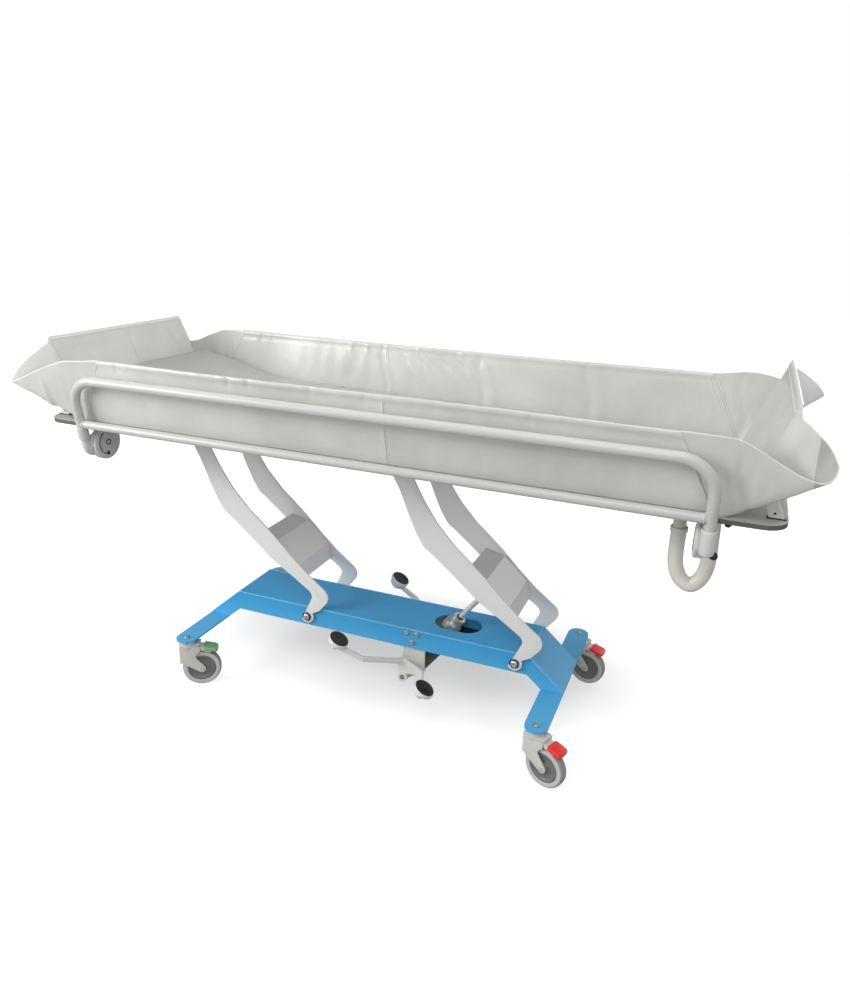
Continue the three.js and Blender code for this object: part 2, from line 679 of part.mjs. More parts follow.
// A pivot shaft across both arm plates, with a washer and a domed head at each end
function pivotShaft() {
  const washer = ARM_OUTER_Y + FIT;
  const head = washer + WASHER;
  const top = head + PIVOT_HEAD;
  const half = [
    [PIVOT_RADIUS, washer], [WASHER_RADIUS, washer], [WASHER_RADIUS, head], [PIVOT_HEAD_RADIUS, head],
    [PIVOT_HEAD_RADIUS, head + PIVOT_HEAD / 2], [PIVOT_HEAD_RADIUS / 2, top], [0, top],
  ];
  const mirrored = half.map(([r, y]) => [r, -y]).reverse();
  return turned([...mirrored, ...half], SMALL_ROUND);
}

function pivotShafts() {
  const group = new THREE.Group();
  for (const [name, x] of [["foot_arm", FOOT_ARM_X], ["head_arm", HEAD_ARM_X]]) {
    const lower = piece(`${name}_lower_shaft`, "steel", pivotShaft());
    lower.position.set(x, 0, ARM_PIVOT_Z);
    const upper = piece(`${name}_upper_shaft`, "steel", pivotShaft());
    upper.position.set(x - ARM_REACH, 0, ARM_PIVOT_Z + ARM_RISE);
    group.add(lower, upper);
  }
  return group;
}

// Pump and cylinder, modelled with the rod along +X from the pedal shaft

function pumpCylinder() {
  const eye = circle(0, 0, PUMP_EYE_RADIUS, BEND_STEPS, 90, 270);
  const shell = join(
    standing(outline([
      ...eye, [PUMP_START, -PUMP_BELOW], [PUMP_END, -PUMP_BELOW], [PUMP_END, PUMP_ABOVE],
      [PUMP_START, PUMP_ABOVE],
    ]), PUMP_WIDTH),
    roundX(CYLINDER_RADIUS, CYLINDER_LENGTH).translate(CYLINDER_LENGTH / 2, 0, 0),
    roundX(CYLINDER_HEAD_RADIUS, CYLINDER_HEAD).translate(CYLINDER_LENGTH - CYLINDER_HEAD * 3 / 2, 0, 0),
  );
  const boreLength = CYLINDER_LENGTH - CYLINDER_BASE + OVERRUN;
  return cut(
    shell,
    roundX(ROD_RADIUS + PIN_FIT, boreLength, SMALL_ROUND).translate(CYLINDER_BASE + boreLength / 2, 0, 0),
    roundY(PEDAL_SHAFT_RADIUS + PIN_FIT, PUMP_WIDTH + 2 * OVERRUN),
  );
}

function pistonRod(reach) {
  const eyeBore = ROD_PIN_RADIUS + ROD_EYE_CLEARANCE;
  const eyeRadius = eyeBore + ROD_EYE_WALL;
  const start = CYLINDER_LENGTH - ROD_INSIDE;
  const end = reach - eyeBore - ROD_EYE_WALL / 2;
  return cut(
    join(
      roundX(ROD_RADIUS, end - start, SMALL_ROUND).translate((start + end) / 2, 0, 0),
      roundY(eyeRadius, ROD_EYE_WIDTH).translate(reach, 0, 0),
    ),
    roundY(eyeBore, ROD_EYE_WIDTH + 2 * OVERRUN).translate(reach, 0, 0),
  );
}

function hydraulics() {
  const group = new THREE.Group();
  group.position.set(PUMP_X, 0, PUMP_Z);
  const back = HEAD_ARM_X - ROD_PIN_BACK - PUMP_X;
  const up = ARM_PIVOT_Z + ROD_PIN_UP - PUMP_Z;
  group.rotation.y = -Math.atan2(up, back);
  group.add(
    piece("pump_cylinder", "zinc", pumpCylinder()),
    piece("piston_rod", "steel", pistonRod(Math.hypot(back, up))),
  );
  return group;
}

function pumpBracket() {
  const cheekOut = BEAM_HALF_WIDTH - SHEET - FIT;
  const cheekY = cheekOut - BRACKET_SHEET / 2;
  const top = BEAM_TOP - SHEET - FIT - PUMP_Z;
  const hidden = BEAM_UNDERSIDE - PUMP_Z;
  const cheek = outline([
    ...circle(0, 0, BRACKET_EYE_RADIUS, BEND_STEPS, 180, 315),
    [BRACKET_AHEAD, BRACKET_FRONT_UP], [BRACKET_AHEAD, top], [-BRACKET_BACK, top],
    [-BRACKET_BACK, hidden],
  ]);
  const screws = [];
  for (const side of [-1, 1]) {
    for (const { ahead, up } of BRACKET_SCREWS) {
      screws.push(bracketScrew(cheekY).rotateX(side > 0 ? 0 : Math.PI).translate(ahead, 0, up));
    }
  }
  const body = join(
    standing(cheek, BRACKET_SHEET).translate(0, -cheekY, 0),
    standing(cheek, BRACKET_SHEET).translate(0, cheekY, 0),
    box(BRACKET_SHEET, 2 * cheekY, top - hidden)
      .translate(BRACKET_SHEET / 2 - BRACKET_BACK, 0, (top + hidden) / 2),
    ...screws,
  );
  const bracket = piece("pump_bracket", "paleGrey",
    cut(body, roundY(PEDAL_SHAFT_RADIUS + PIN_FIT, 2 * BEAM_HALF_WIDTH)));
  bracket.position.set(PUMP_X, 0, PUMP_Z);
  return bracket;
}

// A screw from inside a cheek to its domed head outside the beam's flange
function bracketScrew(start) {
  const face = BEAM_HALF_WIDTH + FIT;
  return turned([
    [0, start], [BRACKET_SCREW_RADIUS, start], [BRACKET_SCREW_RADIUS, face],
    [BRACKET_SCREW_HEAD_RADIUS, face], [BRACKET_SCREW_RADIUS, face + BRACKET_SCREW_HEAD],
    [0, face + BRACKET_SCREW_HEAD],
  ], SCREW_ROUND);
}

function pedalShaft() {
  const half = ARM_OUTER_Y + ROCKER_BOSS_WIDTH;
  const shaft = piece("pedal_shaft", "steel", roundY(PEDAL_SHAFT_RADIUS, 2 * half, SMALL_ROUND));
  shaft.position.set(PUMP_X, 0, PUMP_Z);
  return shaft;
}

// A rocker about the pedal shaft: boss, web, strap to the rear pad and strap to the front pad
function rocker() {
  const bossY = ARM_OUTER_Y + ROCKER_BOSS_WIDTH / 2;
  const boss = cut(
    roundY(ROCKER_BOSS_RADIUS, ROCKER_BOSS_WIDTH, SMALL_ROUND).translate(0, bossY, 0),
    roundY(PEDAL_SHAFT_RADIUS + PIN_FIT, ROCKER_BOSS_WIDTH + 2 * OVERRUN, SMALL_ROUND).translate(0, bossY, 0),
  );
  const overShaft = (PEDAL_SHAFT_RADIUS + ROCKER_BOSS_RADIUS) / 2;
  const web = standing(outline([
    [-ROCKER_BOSS_RADIUS, 0], [-PEDAL_SHAFT_RADIUS - 2 * PIN_FIT, 0],
    [-PEDAL_SHAFT_RADIUS, overShaft], [PEDAL_SHAFT_RADIUS, overShaft],
    [FRONT_KNEE.ahead, FRONT_KNEE.up - STRAP_HEIGHT / 2], [FRONT_KNEE.ahead, FRONT_KNEE.up + STRAP_HEIGHT / 2],
    [PEDAL_SHAFT_RADIUS, ROCKER_WEB_UP + STRAP_HEIGHT / 2],
    [-ROCKER_BOSS_RADIUS, ROCKER_WEB_UP + STRAP_HEIGHT / 2],
  ]), STRAP_WIDTH).translate(0, bossY, 0);
  const corner = [0, bossY, ROCKER_WEB_UP];
  const rearKnee = [REAR_KNEE.ahead, REAR_KNEE.out, REAR_KNEE.up];
  const frontKnee = [FRONT_KNEE.ahead - STRAP_WIDTH / 2, bossY, FRONT_KNEE.up];
  const shapes = [boss, web, bar(corner, rearKnee, STRAP_WIDTH, STRAP_HEIGHT)];
  for (const [pad, from] of [[REAR_PAD, rearKnee], [FRONT_PAD, frontKnee]]) {
    const under = padUnder(pad);
    shapes.push(bar(from, [under.x, PAD_Y, under.z], STRAP_WIDTH, STRAP_HEIGHT));
    shapes.push(padCup().translate(pad.ahead, PAD_Y, pad.up));
  }
  shapes.push(roundZ(STRAP_WIDTH / 2, STRAP_HEIGHT, SMALL_ROUND).translate(...rearKnee));
  return join(...shapes);
}

// Where a strap meets the underside of a pad's cup
function padUnder({ ahead, up }) {
  const drop = PAD_THICKNESS + FIT + PAD_CUP + PAD_STEM / 2;
  const tilt = radians(PAD_TILT);
  return { x: ahead - drop * Math.sin(tilt), z: up - drop * Math.cos(tilt) };
}

// The white cup that holds a pad, its face at the origin before it leans
function padCup() {
  const radius = PAD_RADIUS + FIT + PAD_CUP_LIP;
  const floor = -PAD_THICKNESS - FIT;
  return turned([
    [0, floor - PAD_CUP - PAD_STEM], [PAD_STEM_RADIUS, floor - PAD_CUP - PAD_STEM],
    [PAD_STEM_RADIUS, floor - PAD_CUP], [radius - PAD_CUP, floor - PAD_CUP], [radius, floor],
    [radius, -PAD_THICKNESS / 3], [PAD_RADIUS + FIT, -PAD_THICKNESS / 3], [PAD_RADIUS + FIT, floor],
    [0, floor],
  ]).rotateX(Math.PI / 2).rotateY(radians(PAD_TILT));
}

function footPad() {
  return turned([
    [0, -PAD_THICKNESS], [PAD_RADIUS, -PAD_THICKNESS], [PAD_RADIUS, -PAD_DISH / 2],
    [PAD_RADIUS - PAD_DISH / 2, 0], [PAD_RADIUS - PAD_DISH, 0], [PAD_RADIUS / 2, -PAD_DISH],
    [0, -PAD_DISH],
  ]).rotateX(Math.PI / 2).rotateY(radians(PAD_TILT));
}

function footControls() {
  const group = new THREE.Group();
  group.position.set(PUMP_X, 0, PUMP_Z);
  for (const [label, side] of [["near", -1], ["far", 1]]) {
    const body = rocker();
    if (side < 0) {
      mirrorY(body);
    }
    group.add(piece(`${label}_rocker`, "white", body));
    for (const [end, place] of [["rear", REAR_PAD], ["front", FRONT_PAD]]) {
      const pad = piece(`${label}_${end}_pad`, "black", footPad());
      pad.position.set(place.ahead, side * PAD_Y, place.up);
      group.add(pad);
    }
  }
  return group;
}

// Mirrors a geometry in Y and turns its faces back outward
function mirrorY(geometry) {
  geometry.scale(1, -1, 1);
  const index = geometry.index.array;
  for (let i = 0; i < index.length; i += 3) {
    const first = index[i];
    index[i] = index[i + 1];
    index[i + 1] = first;
  }
  geometry.computeVertexNormals();
  return geometry;
}

// Platform, modelled about its centre line with z from the floor

function underframe() {
  const top = BOARD_UNDERSIDE - FIT;
  const tubeY = ARM_INNER_Y - FIT - UNDERFRAME_TUBE_WIDTH / 2;
  const shapes = [];
  for (const side of [-1, 1]) {
    shapes.push(box(2 * UNDERFRAME_HALF_LENGTH, UNDERFRAME_TUBE_WIDTH, UNDERFRAME_TUBE_HEIGHT)
      .translate(0, side * tubeY, top - UNDERFRAME_TUBE_HEIGHT / 2));
  }
  const [footPivot, headPivot] = [FOOT_ARM_X, HEAD_ARM_X].map((x) => x - ARM_REACH - PLATFORM_SHIFT);
  for (const x of [footPivot + FOOT_BAR_AHEAD, ...HEAD_BARS_AHEAD.map((ahead) => headPivot + ahead)]) {
    shapes.push(box(CROSS_BAR, 2 * CROSS_BAR_HALF_SPAN, CROSS_BAR).translate(x, 0, top - CROSS_BAR / 2));
  }
  const bores = [-1, 1].map((side) => (
    box(2 * (UNDERFRAME_HALF_LENGTH + OVERRUN), UNDERFRAME_TUBE_WIDTH - 2 * UNDERFRAME_WALL,
      UNDERFRAME_TUBE_HEIGHT - 2 * UNDERFRAME_WALL).translate(0, side * tubeY, top - UNDERFRAME_TUBE_HEIGHT / 2)));
  const holes = [footPivot, headPivot].map((x) => (
    roundY(PIVOT_RADIUS + PIN_FIT, 2 * ARM_INNER_Y, SMALL_ROUND).translate(x, 0, ARM_PIVOT_Z + ARM_RISE)));
  return piece("underframe", "white", cut(join(...shapes), ...bores, ...holes));
}

function bedBoard() {
  const board = slab(roundedRectangle(BOARD_HALF_LENGTH, BOARD_HALF_WIDTH, BOARD_CORNER, BEND_STEPS), BOARD)
    .translate(0, 0, BOARD_UNDERSIDE);
  const drain = roundZ(STUB_RADIUS + PIN_FIT, BOARD + 2 * OVERRUN)
    .translate(DRAIN_X, DRAIN_Y, BOARD_UNDERSIDE + BOARD / 2);
  return piece("bed_board", "board", cut(board, drain));
}

// A closed skin from rings of points, all of one length; the first and last ring are capped flat
// by fans about their centres when closed is false, or joined when it is true
function skin(rings, closed) {
  const width = rings[0].length;
  const positions = rings.flat().flatMap((p) => [p.x, p.y, p.z]);
  const index = [];
  const last = closed ? rings.length : rings.length - 1;
  for (let i = 0; i < last; i += 1) {
    const next = (i + 1) % rings.length;
    for (let j = 0; j < width; j += 1) {
      const side = (j + 1) % width;
      const [a, b, c, d] = [i * width + j, i * width + side, next * width + side, next * width + j];
      index.push(a, b, c, a, c, d);
    }
  }
  const geometry = new THREE.BufferGeometry();
  if (!closed) {
    for (const [ring, flip] of [[0, true], [rings.length - 1, false]]) {
      const centre = rings[ring].reduce((sum, p) => sum.add(p), new THREE.Vector3()).divideScalar(width);
      const hub = positions.length / 3;
      positions.push(centre.x, centre.y, centre.z);
      for (let j = 0; j < width; j += 1) {
        const [a, b] = [ring * width + j, ring * width + (j + 1) % width];
        index.push(...(flip ? [b, a, hub] : [a, b, hub]));
      }
    }
  }
  geometry.setAttribute("position", new THREE.Float32BufferAttribute(positions, 3));
  geometry.setIndex(index);
  geometry.computeVertexNormals();
  return geometry;
}

// Padded floor: rings from the underside centre out, up its drawn-in side and over its crown
function floorPad() {
  const halfX = TRAY_HALF_LENGTH - FLAP_THICKNESS - FIT;
  const halfY = TRAY_HALF_WIDTH - WALL_THICKNESS - FIT;
  const height = (x) => PAD_HEIGHT_FOOT
    + (PAD_HEIGHT_HEAD - PAD_HEIGHT_FOOT) * (x + halfX) / (2 * halfX);
  // each ring: how far in from the edge, its share of the height, its share of the crown
  const levels = [
    [PAD_EDGE / 2, 0, 0], [0, 0.25, 0], [0, 0.6, 0], [PAD_EDGE / 3, 0.85, 0], [PAD_EDGE, 1, 0.1],
    [PAD_EDGE * 5, 1, 0.55], [PAD_EDGE * 10, 1, 0.85], [PAD_EDGE * 16, 1, 1],
  ];
  const rings = levels.map(([inward, heightShare, crownShare]) => (
    rimPoints(halfX - inward, halfY - inward).map(([x, y]) => (
      new THREE.Vector3(x, y, BOARD_TOP + FIT + height(x) * heightShare + PAD_CROWN * crownShare)))));
  const well = roundZ(DRAIN_FLANGE_RADIUS + FIT, 2 * PAD_HEIGHT_FOOT).translate(DRAIN_X, DRAIN_Y, BOARD_TOP);
  return piece("floor_pad", "liner", cut(skin(rings, false), well));
}

// Points round a rectangle, counter-clockwise, twelve along each long side and four along each end
function rimPoints(halfX, halfY) {
  const long = 12;
  const short = 4;
  const points = [];
  for (let i = 0; i < long; i += 1) {
    points.push([-halfX + 2 * halfX * i / long, -halfY]);
  }
  for (let i = 0; i < short; i += 1) {
    points.push([halfX, -halfY + 2 * halfY * i / short]);
  }
  for (let i = 0; i < long; i += 1) {
    points.push([halfX - 2 * halfX * i / long, halfY]);
  }
  for (let i = 0; i < short; i += 1) {
    points.push([-halfX, halfY - 2 * halfY * i / short]);
  }
  return points;
}

// One corner of the tray wall, from the middle of the side wall round the ear to the middle of the
// end flap: each row is the outer foot, the outer top and how far the inner face lies from both,
// toward the tray along X and Y
function trayCorner(flapHeight) {
  const wall = [0, WALL_THICKNESS];
  const gusset = [0, GUSSET_THICKNESS];
  const rows = [];
  for (let i = 1; i < WALL_WAVE_COUNT; i += 1) {
    const share = i / WALL_WAVE_COUNT;
    const wave = WALL_WAVE * (i % 2);
    rows.push({
      foot: [SEAM_FOOT_HALF_LENGTH * share, TRAY_HALF_WIDTH, 0],
      top: [WALL_TOP_HALF_LENGTH * share, WALL_TOP_HALF_WIDTH + wave, WALL_HEIGHT],
      in: wall,
    });
  }
  rows.push({
    foot: [SEAM_FOOT_HALF_LENGTH, TRAY_HALF_WIDTH, 0],
    top: [WALL_TOP_HALF_LENGTH, WALL_TOP_HALF_WIDTH, WALL_HEIGHT],
    in: wall,
  });
  const earFoot = [TRAY_HALF_LENGTH - GUSSET_THICKNESS, TRAY_HALF_WIDTH, 0];
  rows.push({
    foot: [(SEAM_FOOT_HALF_LENGTH + earFoot[0]) / 2, TRAY_HALF_WIDTH, 0],
    top: [HEM_HALF_LENGTH, HEM_HALF_WIDTH, HEM_HEIGHT],
    in: gusset,
  });
  rows.push({
    foot: earFoot,
    top: [EAR_HALF_LENGTH, EAR_HALF_WIDTH, EAR_HEIGHT],
    in: [3 * GUSSET_THICKNESS, 2 * GUSSET_THICKNESS],
    footIn: [0, WALL_THICKNESS],
  });
  const cornerFoot = [TRAY_HALF_LENGTH, FLAP_FOOT_HALF_WIDTH + FLAP_THICKNESS, 0];
  rows.push({
    foot: cornerFoot,
    top: [EAR_HALF_LENGTH, EAR_HALF_WIDTH - 2 * GUSSET_THICKNESS, EAR_HEIGHT],
    in: [4 * GUSSET_THICKNESS, GUSSET_THICKNESS],
    footIn: [FLAP_THICKNESS, 0],
  });
  for (const share of [1, 1 / 2]) {
    rows.push({
      foot: [TRAY_HALF_LENGTH, FLAP_FOOT_HALF_WIDTH * share, 0],
      top: [FLAP_TOP_HALF_LENGTH, FLAP_TOP_HALF_WIDTH * share, flapHeight],
      in: [FLAP_THICKNESS, 0],
    });
  }
  return rows;
}

// The whole wall of the tray: a ring of upright sections, each outer face up and inner face down
function trayLiner() {
  const quarters = [
    { rows: trayCorner(HEAD_FLAP_HEIGHT), x: 1, y: -1, reversed: false },
    { rows: trayCorner(HEAD_FLAP_HEIGHT), x: 1, y: 1, reversed: true },
    { rows: trayCorner(FOOT_FLAP_HEIGHT), x: -1, y: 1, reversed: false },
    { rows: trayCorner(FOOT_FLAP_HEIGHT), x: -1, y: -1, reversed: true },
  ];
  const rings = [];
  const base = BOARD_TOP + FIT;
  for (const { rows, x, y, reversed } of quarters) {
    const ordered = reversed ? [...rows].reverse() : rows;
    for (const row of ordered) {
      const [footInX, footInY] = row.footIn ?? row.in;
      const footOut = new THREE.Vector3(x * row.foot[0], y * row.foot[1], base + row.foot[2]);
      const topOut = new THREE.Vector3(x * row.top[0], y * row.top[1], base + row.top[2]);
      const footIn = new THREE.Vector3(x * (row.foot[0] - footInX), y * (row.foot[1] - footInY), footOut.z);
      const topIn = new THREE.Vector3(x * (row.top[0] - row.in[0]), y * (row.top[1] - row.in[1]), topOut.z);
      const middleOut = footOut.clone().lerp(topOut, 1 / 2);
      const middleIn = footIn.clone().lerp(topIn, 1 / 2);
      rings.push([footOut, footIn, middleIn, topIn, topOut, middleOut]);
    }
  }
  return piece("tray_liner", "liner", skin(rings, true));
}

// A hoop behind each end flap: two leaning uprights and a cross bar that the flap rests on
function stanchion(name, end, flapHeight) {
  const slope = (FLAP_TOP_HALF_LENGTH - TRAY_HALF_LENGTH) / flapHeight;
  const reach = STANCHION_BAR_RADIUS * Math.hypot(1, slope) + FIT;
  const barX = TRAY_HALF_LENGTH + slope * STANCHION_HEIGHT + reach;
  const foot = STANCHION_FOOT + FIT;
  const shapes = [roundY(STANCHION_BAR_RADIUS, 2 * STANCHION_Y, SMALL_ROUND).translate(barX, 0, STANCHION_HEIGHT)];
  for (const side of [-1, 1]) {
    const upright = standing(outline([
      [STANCHION_X - STANCHION_WIDTH / 2, foot], [STANCHION_X + STANCHION_WIDTH / 2, foot],
      [barX + STANCHION_BAR_RADIUS, STANCHION_HEIGHT], [barX, STANCHION_HEIGHT],
    ]), STANCHION_DEPTH).translate(0, side * STANCHION_Y, 0);
    const plate = box(
      STANCHION_WIDTH + 2 * STANCHION_FOOT_EDGE, STANCHION_DEPTH + 2 * STANCHION_FOOT_EDGE, STANCHION_FOOT)
      .translate(STANCHION_X, side * STANCHION_Y, FIT + STANCHION_FOOT / 2);
    shapes.push(upright, plate);
  }
  const hoop = join(...shapes);
  const group = new THREE.Group();
  group.position.z = BOARD_TOP;
  group.rotation.z = end > 0 ? 0 : Math.PI;
  group.add(piece(name, "white", hoop));
  return group;
}

// Side rails, modelled in the plane of the rail with the hinge axis on the origin, facing -Y

function sideRail() {
  const bendX = RAIL_HALF_LENGTH - RAIL_BEND;
  const bendZ = RAIL_TOP - RAIL_BEND;
  const line = [
    [-RAIL_HALF_LENGTH, RAIL_POST_FOOT],
    ...circle(-bendX, bendZ, RAIL_BEND, BEND_STEPS, 180, 90),
    ...circle(bendX, bendZ, RAIL_BEND, BEND_STEPS, 90, 0),
    [RAIL_HALF_LENGTH, RAIL_POST_FOOT],
  ].map(([x, z]) => new THREE.Vector3(x, -RAIL_OFFSET, z));
  const lower = roundX(RAIL_LOWER_RADIUS, 2 * RAIL_HALF_LENGTH, TUBE_SIDES)
    .translate(0, -RAIL_OFFSET, RAIL_LOWER);
  return join(tube(line, RAIL_TUBE_RADIUS, TUBE_SIDES), lower);
}

// Fixed half of a hinge: a disc under the board's edge with a flange to fasten it
function hingeBracket() {
  const flangeTop = HINGE_RADIUS;
  const disc = roundX(HINGE_RADIUS, HINGE_PLATE).translate(-HINGE_PLATE / 2, 0, 0);
  const flange = box(HINGE_PLATE + HINGE_FLANGE, 2 * HINGE_FLANGE_HALF, HINGE_FLANGE_THICKNESS)
    .translate(-(HINGE_PLATE + HINGE_FLANGE) / 2, 0, flangeTop - HINGE_FLANGE_THICKNESS / 2);
  return join(disc, flange);
}

// Moving half: a disc and the socket that takes the post
function hingeSocket() {
  const lean = radians(RAIL_LEAN);
  const disc = roundX(HINGE_RADIUS, HINGE_PLATE).translate(HINGE_PLATE / 2, 0, 0);
  const socketRadius = RAIL_TUBE_RADIUS + SOCKET_WALL;
  const top = RAIL_POST_FOOT + SOCKET_DEPTH;
  const postX = socketX();
  const socket = roundZ(socketRadius, SOCKET_LENGTH).translate(postX, -RAIL_OFFSET, top - SOCKET_LENGTH / 2);
  const bore = roundZ(RAIL_TUBE_RADIUS + PIN_FIT, SOCKET_DEPTH + OVERRUN)
    .translate(postX, -RAIL_OFFSET, RAIL_POST_FOOT - FIT + (SOCKET_DEPTH + OVERRUN) / 2);
  const leaned = [socket, bore].map((shape) => shape.rotateX(lean));
  return cut(join(disc, leaned[0]), leaned[1], knobBore());
}

// The post from the face between the two discs
function socketX() {
  return RAIL_TUBE_RADIUS + SOCKET_WALL;
}

function knobBore() {
  return roundX(KNOB_PIN_RADIUS + PIN_FIT, 4 * HINGE_PLATE, SMALL_ROUND).translate(0, -KNOB_OUT, -KNOB_DOWN);
}

function lockKnob() {
  const pinEnd = FIT;
  const face = HINGE_PLATE + FIT;
  const knobStart = face + KNOB_STEM;
  const pin = roundX(KNOB_PIN_RADIUS, knobStart - pinEnd, SMALL_ROUND).translate((knobStart + pinEnd) / 2, 0, 0);
  const collar = roundX(KNOB_PIN_RADIUS * 3 / 2, KNOB_STEM, SMALL_ROUND).translate(face + KNOB_STEM / 2, 0, 0);
  const knob = turned([
    [0, 0], [KNOB_RADIUS * 2 / 3, 0], [KNOB_RADIUS, KNOB_LENGTH / 4], [KNOB_RADIUS, KNOB_LENGTH * 3 / 4],
    [KNOB_RADIUS * 2 / 3, KNOB_LENGTH], [0, KNOB_LENGTH],
  ], SMALL_ROUND).rotateZ(-Math.PI / 2).translate(knobStart, 0, 0);
  return join(pin, collar, knob).translate(0, -KNOB_OUT, -KNOB_DOWN);
}

function railSet(name, side) {
  const group = new THREE.Group();
  group.position.set(0, side * HINGE_Y, HINGE_Z);
  const lean = radians(RAIL_LEAN);
  const rail = sideRail().rotateX(lean);
  group.add(piece(`${name}_side_rail`, "white", side > 0 ? mirrorY(rail) : rail));
  const faceX = RAIL_HALF_LENGTH - socketX();
  for (const [endName, end] of [["head", 1], ["foot", -1]]) {
    const pieces = [
      [`${name}_${endName}_hinge_bracket`, "grey", hingeBracket()],
      [`${name}_${endName}_hinge_socket`, "grey", hingeSocket()],
    ];
    if (end > 0) {
      pieces.push([`${name}_lock_knob`, "black", lockKnob()]);
    }
    for (const [label, look, geometry] of pieces) {
      const shifted = geometry.translate(label.endsWith("bracket") ? -FIT : 0, 0, 0);
      const turnedOver = side > 0 ? mirrorY(shifted) : shifted;
      const placed = piece(label, look, end > 0 ? turnedOver : mirrorX(turnedOver));
      placed.position.x = end * faceX;
      group.add(placed);
    }
  }
  return group;
}

function mirrorX(geometry) {
  return mirrorY(geometry.rotateZ(Math.PI / 2)).rotateZ(-Math.PI / 2);
}

// Drain stub through the board, with a flange in the tray and a collar below
function drainStub() {
  const foot = -STUB_DROP;
  const bore = STUB_RADIUS - STUB_WALL;
  const collarTop = foot + COLLAR;
  const seat = BOARD + FIT;
  return turned([
    [bore, foot], [COLLAR_RADIUS, foot], [COLLAR_RADIUS, collarTop], [STUB_RADIUS, collarTop],
    [STUB_RADIUS, seat], [DRAIN_FLANGE_RADIUS, seat], [DRAIN_FLANGE_RADIUS, seat + DRAIN_FLANGE],
    [bore, seat + DRAIN_FLANGE], [bore, foot],
  ]).rotateX(Math.PI / 2);
}

// The hose hangs from the collar in a U, its free end pushed into a holder under the board
function drain() {
  const group = new THREE.Group();
  group.position.set(DRAIN_X, DRAIN_Y, BOARD_UNDERSIDE);
  const hose = piece("drain_hose", "hose",
    tube(HOSE_ROUTE.map(([x, z]) => new THREE.Vector3(x, 0, z)), HOSE_RADIUS, HOSE_SIDES));
  hose.position.z = -STUB_DROP - FIT;
  const holder = piece("hose_holder", "white", hoseHolder());
  holder.position.x = HOSE_ROUTE.at(-1)[0];
  group.add(piece("drain_stub", "hose", drainStub()), hose, holder);
  return group;
}

function hoseHolder() {
  const inner = HOSE_RADIUS + FIT;
  const top = -FIT;
  const roof = HOSE_ROUTE.at(-1)[1] - STUB_DROP;
  const foot = roof - HOLDER_OVERLAP;
  return turned([
    [inner, foot], [inner + HOLDER_WALL, foot], [inner + HOLDER_WALL, top], [0, top], [0, roof],
    [inner, roof], [inner, foot],
  ]).rotateX(Math.PI / 2);
}

// The origin lies under the middle of the platform
const trolley = new THREE.Group();
trolley.position.x = -PLATFORM_SHIFT;
trolley.add(baseFrame());
for (const [name, settings] of Object.entries(SWIVELS)) {
  trolley.add(caster(`${name}_caster`, settings));
}
trolley.add(
  arm("foot_arm", FOOT_ARM_X, false),
  arm("head_arm", HEAD_ARM_X, true),
  pivotShafts(),
  pumpBracket(),
  pedalShaft(),
  hydraulics(),
  footControls(),
);

const platform = new THREE.Group();
platform.position.x = PLATFORM_SHIFT;
platform.add(
  underframe(),
  bedBoard(),
  floorPad(),
  trayLiner(),
  stanchion("head_stanchion", 1, HEAD_FLAP_HEIGHT),
  stanchion("foot_stanchion", -1, FOOT_FLAP_HEIGHT),
  railSet("near", -1),
  railSet("far", 1),
  drain(),
);
trolley.add(platform);

export default trolley;
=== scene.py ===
import math

import bmesh
import bpy
from mathutils import Matrix, Vector, noise


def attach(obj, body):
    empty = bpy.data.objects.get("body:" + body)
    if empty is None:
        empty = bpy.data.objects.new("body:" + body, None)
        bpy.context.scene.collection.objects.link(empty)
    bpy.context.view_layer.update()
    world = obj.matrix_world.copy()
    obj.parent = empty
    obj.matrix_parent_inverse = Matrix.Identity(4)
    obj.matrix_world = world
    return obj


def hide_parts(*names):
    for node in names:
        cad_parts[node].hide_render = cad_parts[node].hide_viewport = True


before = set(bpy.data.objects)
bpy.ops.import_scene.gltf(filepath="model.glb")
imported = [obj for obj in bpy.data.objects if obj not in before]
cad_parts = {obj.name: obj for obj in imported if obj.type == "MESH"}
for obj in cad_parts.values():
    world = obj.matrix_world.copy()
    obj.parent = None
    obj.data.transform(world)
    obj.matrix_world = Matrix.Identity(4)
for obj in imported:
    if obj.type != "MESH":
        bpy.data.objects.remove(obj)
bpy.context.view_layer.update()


# --- Camera ---
# Stands by the head end at eye height and looks along the trolley, tipped a little to one side.

def shift(x, y, z=0):
    return Matrix.Translation((x, y, z))


def turn(degrees, axis):
    return Matrix.Rotation(math.radians(degrees), 4, axis)


def added(name, data):
    """A new object in the scene."""
    thing = bpy.data.objects.new(name, data)
    bpy.context.scene.collection.objects.link(thing)
    return thing


eye_point = (0.9085, -2.1565, 1.5081)
looking = Vector((-0.341404, 0.875648, -0.34159)).normalized()
head_tilt = 1.7
sensor_width = 36
focal_share, rise_share = 0.7993, 0.0022  # of the picture's height

camera = added("camera", bpy.data.cameras.new("camera"))
camera.data.sensor_width = sensor_width
camera.data.lens = focal_share * sensor_width
camera.data.shift_y = rise_share
camera.data.clip_end = 60
aimed = looking.to_track_quat("-Z", "Y").to_matrix().to_4x4()
camera.matrix_world = shift(*eye_point) @ aimed @ turn(head_tilt, "Z")
bpy.context.scene.camera = camera


# --- Drain hose ---
# A smooth cream PVC hose. It hangs in a U from the collar under the bed, and its free end is
# pushed up into a holder so that no water runs out before it is let down over a floor drain.

